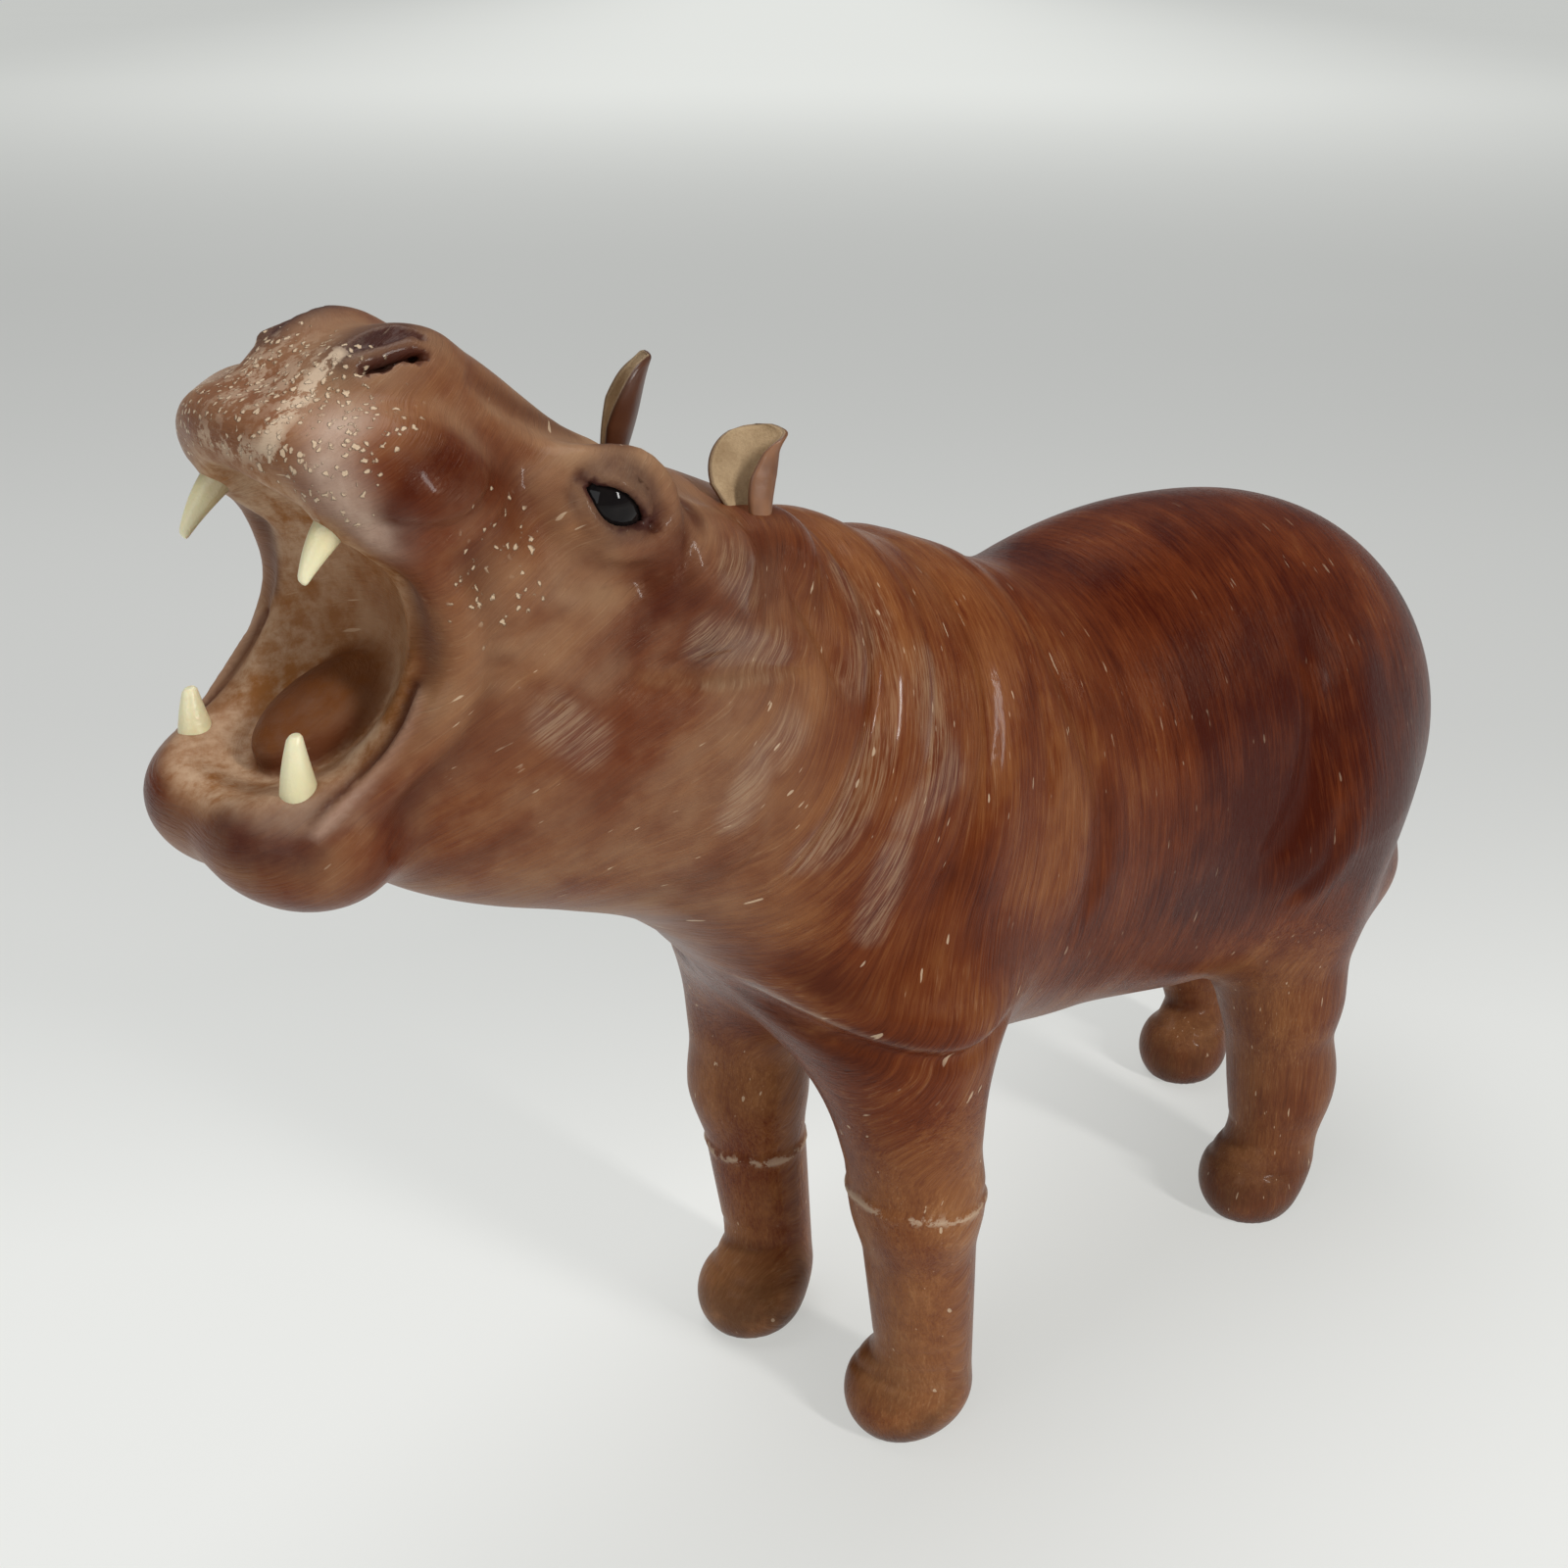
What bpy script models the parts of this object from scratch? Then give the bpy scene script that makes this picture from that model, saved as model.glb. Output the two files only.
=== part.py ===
"""Leather hippopotamus figurine, walking, its mouth wide open.

The body is one piece: leather laid wet over a form, with its lips, tongue, folds and short
tail. Two glass eyes, two cut leather ears and four tusks are pieces of their own, each set
into a socket of the body with a small gap.

Frame: origin on the ground under the middle of the figure, +X towards the tail, -Y the
figure's left side, +Z up. Metres.

The pose, the masses and the carving are written in shares of the figure's length, 400 to
the whole: SHARE turns them into metres. Left and right are alike above the legs, so the
masses there are written for one side and mirrored by the distance from the middle plane.
"""
from math import cos, pi, radians, sin

import bmesh
import bpy
import numpy as np
from mathutils import Matrix, Vector

# Driving dimensions, metres
LENGTH = 0.400                 # lower lip to rump
EYE_DIAMETER = 0.0152
EYE_PROUD = 0.0044             # how far the glass stands out of its socket's rim
UPPER_TUSK_LENGTHS = (0.0145, 0.0160)   # what shows, left and right
LOWER_TUSK_LENGTHS = (0.0200, 0.0170)
UPPER_TUSK_DIAMETER = 0.0068   # at the gum
LOWER_TUSK_DIAMETER = 0.0092
TUSK_ROOT = 0.0080             # the peg in the jaw
TUSK_TIP = 0.3                 # width of the blunt tip, as a share of the width at the gum
EAR_HEIGHTS = (0.0190, 0.0275)  # above the head, left and right
EAR_WIDTH = 0.0215             # of the leather before it is curled
EAR_THICKNESS = 0.0016
EAR_ROOT = 0.0060              # the part pinched into the head
FIT_GAP = 0.0003               # between a piece and its socket

# The modelled skin
SHARE = LENGTH / 400
SKIN_STEP = 3.2                # shares between its points, before it is thinned out
SKIN_TRIANGLES = 6900          # of the body, after it is thinned out
MIDDLE_SOFTNESS = 4.0          # rounds the crease where a mirrored mass meets its twin
LOW_CORNER = (-236, -74, -6)   # box that holds the whole body, shares
HIGH_CORNER = (200, 74, 334)

# Rounded masses: centre, half sizes, pitch in degrees (lifts the front), width of the blend
TRUNK = (
    ((48, 0, 167), (112, 55, 68.5), -10, 0),          # barrel of the ribs
    ((115, 7, 156), (64, 50, 61), -3, 26),            # haunches
    ((78, 12, 131), (52, 36, 36), -4, 20),            # belly
    ((134, 28, 116), (24, 22, 20), 0, 6),             # buttocks
    ((-42, 7, 180), (56, 48, 66), 10, 26),            # shoulders
    ((-89, 0, 213), (62, 47, 51), 34, 24),            # neck
)
HEAD = (
    ((-133, 5, 234), (46, 40, 49), 25, 18),           # skull and jaw muscles
    ((-150, 4.5, 278), (45, 28, 15), 45, 16),         # bridge of the nose
    ((-180, 8, 289), (24.5, 21, 25), 33, 10),         # muzzle
    ((-182, 23, 290), (19, 17, 14), 32, 4),           # whisker pads
    ((-164, 8, 234.5), (39, 28, 36), 18, 14),         # lower jaw
    ((-204, 12.7, 223.5), (18.5, 20.5, 14.5), 8, 8),  # chin
    ((-154, 23, 257), (29, 15.5, 34), 10, 10),        # cheeks, beside the mouth
    ((-170, 25, 269), (10, 10, 12), 0, 8),            # their front, under the whisker pads
)
NOSTRIL = ((-177, 13.5, 308), (12, 8, 8), -10, 5)
NOSTRIL_PIT = ((-180.5, 17.5, 313), (7.5, 2.8, 5), -12, 1.5)
TEMPLE = ((-124, 33, 264), (14, 12, 12), 0, 10)
EAR_BUMP = ((-99, 25, 260.5), (12, 11, 10.5), 0, 8)
TONGUE = ((-188, 0, 241.5), (20, 13, 8), -20, 3)
MOUTH = (                                             # carved out: under the palate, over the jaw
    ((-206, 0, 268), (31, 31, 25), 30, 4),
    ((-207, 0, 257), (31, 31, 25), -12, 4),
)

# Ridges: points along the ridge, its radius at each, width of the blend
LIPS = (
    ((-202, 3, 299), (-200, 18, 298), (-196, 26, 292), (-186, 32.5, 280), (-179.5, 34.5, 262),
     (-185, 33, 248), (-199, 28, 235), (-212, 17, 225), (-215, 4, 224)),
    (5.0, 4.6, 4.0, 3.2, 3.0, 3.2, 3.6, 4.2, 4.4), 8)
BRIDGE_EDGE = (((-166, 10, 301), (-138, 17, 278)), (7, 8), 8)
BROW = (
    ((-156, 31, 288), (-149, 33.5, 291.5), (-140, 36, 289), (-134, 38.5, 281), (-134, 40, 270)),
    (2.0, 3.2, 3.8, 3.4, 2.5), 8)
LOWER_LID = (((-154, 36, 281), (-147, 39.5, 275.5), (-139, 40, 275)), (2.4, 2.8, 2.4), 5)
TAIL = (((168, 0, 196), (178, 0, 180), (181, 0, 164), (180, 0, 148)), (5.5, 5.0, 4.2, 3.4), 4)

# Legs: hip, knee and ankle with their radii, then where the foot stands and its radius
LEGS = (
    ((-62, -35, 141), 24, (-56, -37.5, 84), 15.8, (-47.5, -35, 18.5), 12.7, (-51.5, -30.5), 15.4),
    ((-51, 31, 144), 23, (-50, 36, 82), 15.5, (-44.5, 32, 20), 12.2, (-54.5, 29.5), 15.2),
    ((101, -31, 145), 31, (107.5, -35, 82), 17.5, (110.5, -36.5, 23), 13.2, (102.5, -35), 15.8),
    ((136, 32, 140), 31, (149, 34, 83), 17, (164, 33, 26), 11.5, (152, 30), 15),
)
HOCK_TALLER = 1.3
HOCKS = (                      # swellings at the back of the rear legs: centre, radius
    ((113, -38, 50), 13.5),
    ((163, 36, 50), 13.0),
)
HIP_BLEND, KNEE_BLEND, FOOT_BLEND = 20, 8, 6   # how widely the legs' masses run together
FOOT_LENGTHEN = 1.5            # a foot is this much longer than it is wide
FOOT_RISE = 0.64               # height of a foot's widest part, as a share of its radius
GROUND = 4.5                   # the ground's height in these shares; the body is cut flat there

# Folds seen from the side: points along the fold, its half width, its depth, which side
# of it swells (1 behind, -1 in front), and whether it runs over the top of the neck
FOLDS = (
    (((-101, 266), (-99, 256), (-94, 244), (-90, 230)), 3.5, 1.5, 1, False),
    (((-72, 270), (-71, 252), (-75, 240), (-84, 222), (-96, 200), (-104, 186)), 5, 2.6, 1, True),
    (((-44, 256), (-43, 236), (-48, 215), (-60, 190), (-72, 168)), 5, 1.8, 1, True),
    (((-16, 246), (-16, 228), (-13, 206), (-9, 190), (-10, 168), (-18, 146)), 6, 2.4, -1, True),
    (((83, 212), (80, 190), (74, 168), (67, 153), (57, 140)), 9, 2.6, 1, False),
    (((-150, 254), (-141, 250), (-125, 248), (-107, 246)), 4, 1.6, -1, False),
    (((-109, 157), (-96, 147), (-80, 140), (-62, 136), (-42, 139)), 4.5, 2.4, 1, False),
)
FOLD_FLOOR = 70                # folds fade out below this height

# Where the pieces sit, for the right side (+Y), in shares
EYE_PLACE = (-146.5, 37, 283.3)        # middle of the socket's rim
EYE_OUTWARD = (-0.25, 1.0, 0.12)
UPPER_TUSK_PLACE = (-195.0, 21.5, 287)   # where the tusk leaves the gum
UPPER_TUSK_WAY = (-0.80, 0.05, -0.60)
UPPER_TUSK_BEND = (0.14, 0.0, -0.16)   # sideways drift of its tip
LOWER_TUSK_PLACE = (-207.5, 20.5, 228)
LOWER_TUSK_WAY = (-0.20, 0.05, 1.0)
LOWER_TUSK_BEND = (0.14, 0.0, 0.0)
EARS = (    # left and right: where the ear leaves the head, its way up, where its hollow looks
    ((-98.5, 26, 269.5), (0.08, -0.32, 0.95), (-0.62, 0.72, 0.25)),
    ((-96.5, 26, 270), (0.06, -0.34, 0.95), (-0.68, 0.66, 0.25)),
)
EAR_CURLS = (0.6, 0.8)                 # how far the leather turns from middle to edge, radians
ROOT_CURL = 0.4                        # how much further at the root
EAR_FOLDS = (2.2, 0.8)                 # how far the outer edge folds forward, left and right
FOLD_START = -0.37                     # across the leaf at the root: 0 its middle, 1 its edge
FOLD_SLANT = 0.9                       # how much further out the fold starts at the tip
FOLD_FLARE = (0.72, 12)                # the height where it bends outward, and how strongly
FOLD_REACH = 0.5                       # its width, where the leaf is widest

LEATHER_COLOR = (0.150, 0.048, 0.024, 1)
SUEDE_COLOR = (0.42, 0.24, 0.10, 1)
TUSK_COLOR = (0.78, 0.70, 0.46, 1)
GLASS_COLOR = (0.006, 0.006, 0.007, 1)


def clear_scene():
    """Remove every object that the file opened with."""
    for thing in list(bpy.data.objects):
        bpy.data.objects.remove(thing, do_unlink=True)


def material(name, color, roughness):
    """A plain Principled material."""
    made = bpy.data.materials.new(name)
    made.use_nodes = True
    shader = made.node_tree.nodes["Principled BSDF"]
    shader.inputs["Base Color"].default_value = color
    shader.inputs["Roughness"].default_value = roughness
    shader.inputs["Metallic"].default_value = 0.0
    return made


def add_object(name, mesh, finish=None):
    """Put a mesh into the scene under a name, with its material."""
    thing = bpy.data.objects.new(name, mesh)
    bpy.context.scene.collection.objects.link(thing)
    if finish:
        mesh.materials.append(finish)
    return thing


# Distances to simple shapes: negative inside, in shares. p is a tuple of x, y, z arrays.

def length(*parts):
    return np.sqrt(sum(part * part for part in parts))


def egg(p, centre, half_sizes, pitch):
    """An ellipsoid whose front (-X) end is lifted by pitch degrees."""
    x, y, z = (part - middle for part, middle in zip(p, centre))
    c, s = cos(radians(pitch)), sin(radians(pitch))
    x, z = x * c - z * s, x * s + z * c
    a, b, h = half_sizes
    near = length(x / a, y / b, z / h)
    slope = length(x / a**2, y / b**2, z / h**2) + 1e-9
    return near * (near - 1) / slope


def limb(p, start, end, start_radius, end_radius):
    """A round bar that tapers from one ball to another."""
    start, end = np.array(start, float), np.array(end, float)
    way = end - start
    along = sum((part - s) * w for part, s, w in zip(p, start, way)) / (way @ way)
    along = np.clip(along, 0, 1)
    off = length(*(part - s - along * w for part, s, w in zip(p, start, way)))
    return off - start_radius - (end_radius - start_radius) * along


def join(one, other, blend):
    """The union of two shapes, rounded where they meet over the width of the blend."""
    if not blend:
        return np.minimum(one, other)
    overlap = np.maximum(blend - np.abs(one - other), 0) / blend
    return np.minimum(one, other) - overlap**2 * blend / 4


def carve(shape, hollow, blend):
    """The shape without the hollow, its edge rounded over the width of the blend."""
    return -join(-shape, hollow, blend)


def smooth_line(points, parts=4):
    """Points on a smooth curve through the given ones (Catmull-Rom)."""
    given = np.array(points, float)
    given = np.vstack([2 * given[0] - given[1], given, 2 * given[-1] - given[-2]])
    line = []
    for a, b, c, d in zip(given, given[1:], given[2:], given[3:]):
        for t in np.arange(parts) / parts:
            line.append(0.5 * (2 * b + (c - a) * t + (2 * a - 5 * b + 4 * c - d) * t**2
                               + (3 * b - a - 3 * c + d) * t**3))
    line.append(given[-2])
    return np.array(line)


def ridge(p, points, radii):
    """A round bar along a smooth curve."""
    line = smooth_line(points)
    share = np.linspace(0, 1, len(line))
    widths = np.interp(share, np.linspace(0, 1, len(radii)), radii)
    bars = [limb(p, *bar) for bar in zip(line, line[1:], widths, widths[1:])]
    return np.minimum.reduce(bars)


def body_form(p):
    """The body without its folds: masses, then the mouth, then what lies in and around it."""
    x, y, z = p
    half = (x, np.sqrt(y * y + MIDDLE_SOFTNESS**2), z)
    shape = None
    for centre, half_sizes, pitch, blend in TRUNK + HEAD:
        mass = egg(half, centre, half_sizes, pitch)
        shape = mass if shape is None else join(shape, mass, blend)
    points, radii, blend = BRIDGE_EDGE
    shape = join(shape, ridge(half, points, radii), blend)
    for centre, half_sizes, pitch, blend in MOUTH:
        shape = carve(shape, egg(half, centre, half_sizes, pitch), blend)
    for centre, half_sizes, pitch, blend in (NOSTRIL, TEMPLE, EAR_BUMP, TONGUE):
        shape = join(shape, egg(half, centre, half_sizes, pitch), blend)
    for points, radii, blend in (LIPS, BROW, LOWER_LID):
        shape = join(shape, ridge(half, points, radii), blend)
    centre, half_sizes, pitch, blend = NOSTRIL_PIT
    shape = carve(shape, egg(half, centre, half_sizes, pitch), blend)
    points, radii, blend = TAIL
    shape = join(shape, ridge(p, points, radii), blend)
    return with_legs(p, shape)


def with_legs(p, shape):
    """The shape with its four legs; the feet run a little below the ground."""
    for hip, hip_radius, knee, knee_radius, ankle, ankle_radius, stand, foot_radius in LEGS:
        shape = join(shape, limb(p, hip, knee, hip_radius, knee_radius), HIP_BLEND)
        shape = join(shape, limb(p, knee, ankle, knee_radius, ankle_radius), KNEE_BLEND)
        middle = (stand[0], stand[1], GROUND + foot_radius * FOOT_RISE)
        half_sizes = (foot_radius + FOOT_LENGTHEN, foot_radius, foot_radius)
        shape = join(shape, egg(p, middle, half_sizes, 0), FOOT_BLEND)
    for centre, radius in HOCKS:
        half_sizes = (radius, radius, radius * HOCK_TALLER)
        shape = join(shape, egg(p, centre, half_sizes, 0), KNEE_BLEND)
    return shape


def fold_height(p, points, width, depth, swell_side, over_top):
    """How far a fold lifts the skin: a groove, with a soft roll along one side of it."""
    x, y, z = p
    line = smooth_line(points)
    steps = np.diff(line, axis=0)
    run = np.concatenate([[0], np.cumsum(np.hypot(*steps.T))])
    run /= run[-1]
    nearest = np.full(x.shape, 1e9)
    across = np.zeros(x.shape)
    place = np.zeros(x.shape)
    for start, step, begin, finish in zip(line, steps, run, run[1:]):
        part = ((x - start[0]) * step[0] + (z - start[1]) * step[1]) / (step @ step)
        part = np.clip(part, 0, 1)
        dx, dz = x - start[0] - part * step[0], z - start[1] - part * step[1]
        distance = np.hypot(dx, dz)
        closer = distance < nearest
        nearest = np.where(closer, distance, nearest)
        turn = np.where(dx * step[1] - dz * step[0] >= 0, 1.0, -1.0)
        across = np.where(closer, distance * turn, across)
        place = np.where(closer, begin + part * (finish - begin), place)
    fade = np.clip(np.minimum(place, 1 - place) * 6, 0, 1)
    if not over_top:
        fade = fade * np.clip((np.abs(y) - 6) / 16, 0, 1)
    across = across * -swell_side / width
    groove = np.exp(-2.2 * across**2)
    roll = 0.6 * np.exp(-((across - 2.0) / 1.3) ** 2)
    return fade * depth * (roll - groove)


def body_skin(p):
    """The body with its folds."""
    lift = sum(fold_height(p, *fold) for fold in FOLDS)
    return body_form(p) - lift * np.clip((p[2] - FOLD_FLOOR) / 40, 0, 1)


def surface_cells(field, low, high, step):
    """A net of quads round the inside of a field: one point in every cell that it crosses."""
    counts = [int(np.ceil((b - a) / step)) + 1 for a, b in zip(low, high)]
    x, y, z = (a + step * np.arange(n) for a, n in zip(low, counts))
    slabs = [field(np.meshgrid(x[i:i + 16], y, z, indexing="ij")) for i in range(0, len(x), 16)]
    values = np.concatenate(slabs)
    corners = [(i, j, k) for i in (0, 1) for j in (0, 1) for k in (0, 1)]
    cells = [n - 1 for n in values.shape]
    around = np.stack([values[i:i + cells[0], j:j + cells[1], k:k + cells[2]]
                       for i, j, k in corners], axis=-1)
    inside = (around < 0).sum(axis=-1)
    crossed = (inside > 0) & (inside < 8)
    number = np.full(crossed.shape, -1)
    number[crossed] = np.arange(crossed.sum())
    around = around[crossed]
    total = np.zeros((len(around), 3))
    hits = np.zeros(len(around))
    for a, first in enumerate(corners):
        for b, second in enumerate(corners):
            if b <= a or sum(abs(m - n) for m, n in zip(first, second)) != 1:
                continue
            cuts = (around[:, a] < 0) != (around[:, b] < 0)
            drop = np.where(cuts, around[:, a] - around[:, b], 1)
            share = (around[:, a] / drop)[:, None]
            point = np.array(first) + np.subtract(second, first) * share
            total += np.where(cuts[:, None], point, 0)
            hits += cuts
    points = np.array(low) + step * (np.argwhere(crossed) + total / hits[:, None])
    return points, np.concatenate([net_faces(values, number, axis) for axis in range(3)])


def net_faces(values, number, axis):
    """A quad for every grid edge along one axis that crosses the surface, facing out."""
    ahead = np.moveaxis(values, axis, 0)
    numbers = np.moveaxis(number, axis, 0)
    starts_in = ahead[:-1, 1:-1, 1:-1] < 0
    crossing = starts_in != (ahead[1:, 1:-1, 1:-1] < 0)
    i, j, k = (part[crossing] for part in np.indices(crossing.shape))
    quads = np.stack([numbers[i, j, k], numbers[i, j + 1, k],
                      numbers[i, j + 1, k + 1], numbers[i, j, k + 1]], axis=1)
    facing_out = starts_in[crossing] == (axis != 1)
    quads[~facing_out] = quads[~facing_out][:, ::-1]
    return quads


def settle(points, field, rounds=3, probe=0.3):
    """Move points along the field's slope until they lie on its surface."""
    for _ in range(rounds):
        slope = np.stack([field((points + probe * way).T) - field((points - probe * way).T)
                          for way in np.eye(3)], axis=1) / (2 * probe)
        value = np.clip(field(points.T), -3, 3)
        points = points - (value / np.maximum((slope**2).sum(axis=1), 0.1))[:, None] * slope
    return points


def modify(thing, kind, **settings):
    """Add a modifier with its settings."""
    modifier = thing.modifiers.new(kind.title(), kind)
    for setting, value in settings.items():
        setattr(modifier, setting, value)


def cut(thing, cutter):
    """Take a cutter's shape out of an object, and hide the cutter."""
    cutter.hide_render = True
    cutter.display_type = "WIRE"
    modify(thing, "BOOLEAN", operation="DIFFERENCE", solver="EXACT", object=cutter)


def make_body(leather):
    """The leather body, thinned out to its triangle count, with flat soles."""
    points, quads = surface_cells(body_form, LOW_CORNER, HIGH_CORNER, SKIN_STEP)
    points = settle(points, body_skin)
    mesh = bpy.data.meshes.new("body")
    mesh.from_pydata((points * SHARE).tolist(), [], quads.tolist())
    mesh.shade_smooth()
    body = add_object("body", mesh, leather)
    modify(body, "DECIMATE", ratio=SKIN_TRIANGLES / (2 * len(quads)))
    ground = bmesh.new()
    bmesh.ops.create_cube(ground, size=1, matrix=Matrix.Translation((0, 0, GROUND * SHARE - 0.5)))
    slab = bpy.data.meshes.new("ground_cut")
    ground.to_mesh(slab)
    ground.free()
    cut(body, add_object("ground_cut", slab))
    return body


def mirrored(vector, side):
    """A place or direction given for the right side, on the wanted side, in plain numbers."""
    return Vector((vector[0], vector[1] * side, vector[2]))


def eye_mesh(name, side, grow):
    """A glass eye, or with grow its socket. Its centre lies below the rim that shows it."""
    outward = mirrored(EYE_OUTWARD, side).normalized()
    centre = mirrored(EYE_PLACE, side) * SHARE + outward * (EYE_PROUD - EYE_DIAMETER / 2)
    ball = bmesh.new()
    bmesh.ops.create_uvsphere(ball, u_segments=14, v_segments=8, radius=EYE_DIAMETER / 2 + grow)
    turn = outward.to_track_quat("Z", "Y").to_matrix().to_4x4()
    bmesh.ops.transform(ball, matrix=Matrix.Translation(centre) @ turn, verts=ball.verts)
    return finished(ball, name)


def finished(shape, name):
    """Turn a bmesh into a smooth-shaded mesh with its faces pointing out."""
    bmesh.ops.recalc_face_normals(shape, faces=shape.faces)
    mesh = bpy.data.meshes.new(name)
    shape.to_mesh(mesh)
    shape.free()
    mesh.shade_smooth()
    return mesh


def tusk_mesh(name, side, place, way, bend, diameter, shown, grow):
    """A curved, tapering tusk with its peg, or with grow the socket for it."""
    start = mirrored(place, side) * SHARE
    ahead = mirrored(way, side).normalized()
    drift = mirrored(bend, side)
    rings, sides = 7, 10
    shape = bmesh.new()
    across = ahead.orthogonal().normalized()
    second = ahead.cross(across)
    loops = []
    for i in range(rings):
        run = -TUSK_ROOT - grow + (shown + TUSK_ROOT + 2 * grow) * i / (rings - 1)
        share = max(run, 0) / shown
        middle = start + ahead * run + drift * (shown * share**2)
        radius = diameter / 2 * (1 - (1 - TUSK_TIP) * share**1.5) + grow
        loops.append([shape.verts.new(middle + radius * (across * cos(a) + second * sin(a)))
                      for a in (2 * pi * n / sides for n in range(sides))])
    for lower, upper in zip(loops, loops[1:]):
        for n in range(sides):
            m = (n + 1) % sides
            shape.faces.new((lower[n], lower[m], upper[m], upper[n]))
    shape.faces.new(loops[0])
    shape.faces.new(loops[-1])
    bmesh.ops.triangulate(shape, faces=shape.faces)
    return finished(shape, name)


def ear_mesh(name, side, ear, height, curl, fold, grow):
    """An ear of curled leather, or with grow the slot for its pinched root.

    The leather is a rounded leaf. Its outer edge folds forward, and towards the root the
    whole leaf is rolled tighter.
    """
    place, up, facing = (mirrored(vector, side) for vector in ear)
    up = up.normalized()
    facing = (facing - up * facing.dot(up)).normalized()
    outer = up.cross(facing) * -side
    start = place * SHARE
    rows = 8
    runs = [-EAR_ROOT + (height + EAR_ROOT) * i / (rows - 1) for i in range(rows)]
    shares = (-1, -0.5, -0.1, 0.2, 0.45, 0.7, 1)   # across the leaf, closer at the fold
    shape = bmesh.new()
    layers = []
    for front in (1, -1):
        grid = []
        for run in with_margin(runs, grow):
            rise = min(max((run + EAR_ROOT) / (height + EAR_ROOT), 0), 1)
            half_width = EAR_WIDTH / 2 * leaf_width(rise)
            grid.append([])
            for share in with_margin(shares, grow / half_width):
                off, ahead, turn = rolled(share, rise, curl, fold)
                normal = facing * cos(turn) - outer * sin(turn)
                spot = start + up * run + (outer * off + facing * ahead) * half_width
                grid[-1].append(shape.verts.new(
                    spot + normal * (EAR_THICKNESS / 2 + grow) * front))
        layers.append(grid)
    stitch_leaf(shape, *layers)
    return finished(shape, name)


def with_margin(values, margin):
    """The values, with one more beyond each end where there is a margin."""
    return [values[0] - margin, *values, values[-1] + margin] if margin else values


def leaf_turn(share, rise, curl, fold):
    """How far the leaf has turned at a place across it: an even curl, and the fold.

    The fold's line slants from the middle of the root to the outer corner of the tip.
    """
    curl += ROOT_CURL * (1 - rise) ** 2
    begin = FOLD_START + FOLD_SLANT * rise + FOLD_FLARE[1] * max(rise - FOLD_FLARE[0], 0) ** 2
    reach = FOLD_REACH / leaf_width(rise)
    return curl * share + fold * min(max((share - begin) / reach, 0), 1)


def rolled(share, rise, curl, fold, pieces=8):
    """A point across the rolled leaf, and how far the leaf has turned there."""
    off, ahead = 0.0, 0.0
    for n in range(pieces):
        turn = leaf_turn(share * (n + 0.5) / pieces, rise, curl, fold)
        off += cos(turn) * share / pieces
        ahead += sin(turn) * share / pieces
    return off, ahead, leaf_turn(share, rise, curl, fold)


def leaf_width(rise):
    """Half width of the ear's outline, as a share of its greatest, from root to tip."""
    return (1 - 0.58 * max(0.55 - rise, 0) / 0.55) * (
        1 if rise < 0.6 else max(0.0, 1 - ((rise - 0.6) / 0.4) ** 2) ** 0.5 * 0.86 + 0.14)


def stitch_leaf(shape, front, back):
    """Close two grids of points into one thick leaf."""
    rows, columns = len(front), len(front[0])
    for i in range(rows - 1):
        for j in range(columns - 1):
            for grid in (front, back):
                shape.faces.new((grid[i][j], grid[i][j + 1], grid[i + 1][j + 1], grid[i + 1][j]))
    rim = [(i, 0) for i in range(rows)]
    rim += [(rows - 1, j) for j in range(1, columns)]
    rim += [(i, columns - 1) for i in range(rows - 2, -1, -1)]
    rim += [(0, j) for j in range(columns - 2, 0, -1)]
    for (i, j), (k, m) in zip(rim, rim[1:] + rim[:1]):
        shape.faces.new((front[i][j], front[k][m], back[k][m], back[i][j]))
    bmesh.ops.triangulate(shape, faces=shape.faces)


def stand_at_origin(figure, pieces):
    """Shift the figure so that the origin lies on the ground under the middle of its box."""
    bpy.context.view_layer.update()
    depsgraph = bpy.context.evaluated_depsgraph_get()
    low, high = np.full(3, np.inf), np.full(3, -np.inf)
    for piece in pieces:
        mesh = piece.evaluated_get(depsgraph).data
        spots = np.empty(len(mesh.vertices) * 3, np.float32)
        mesh.vertices.foreach_get("co", spots)
        spots = spots.reshape(-1, 3)
        low, high = np.minimum(low, spots.min(axis=0)), np.maximum(high, spots.max(axis=0))
    figure.location = (-(low[0] + high[0]) / 2, -(low[1] + high[1]) / 2, -GROUND * SHARE)


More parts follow.
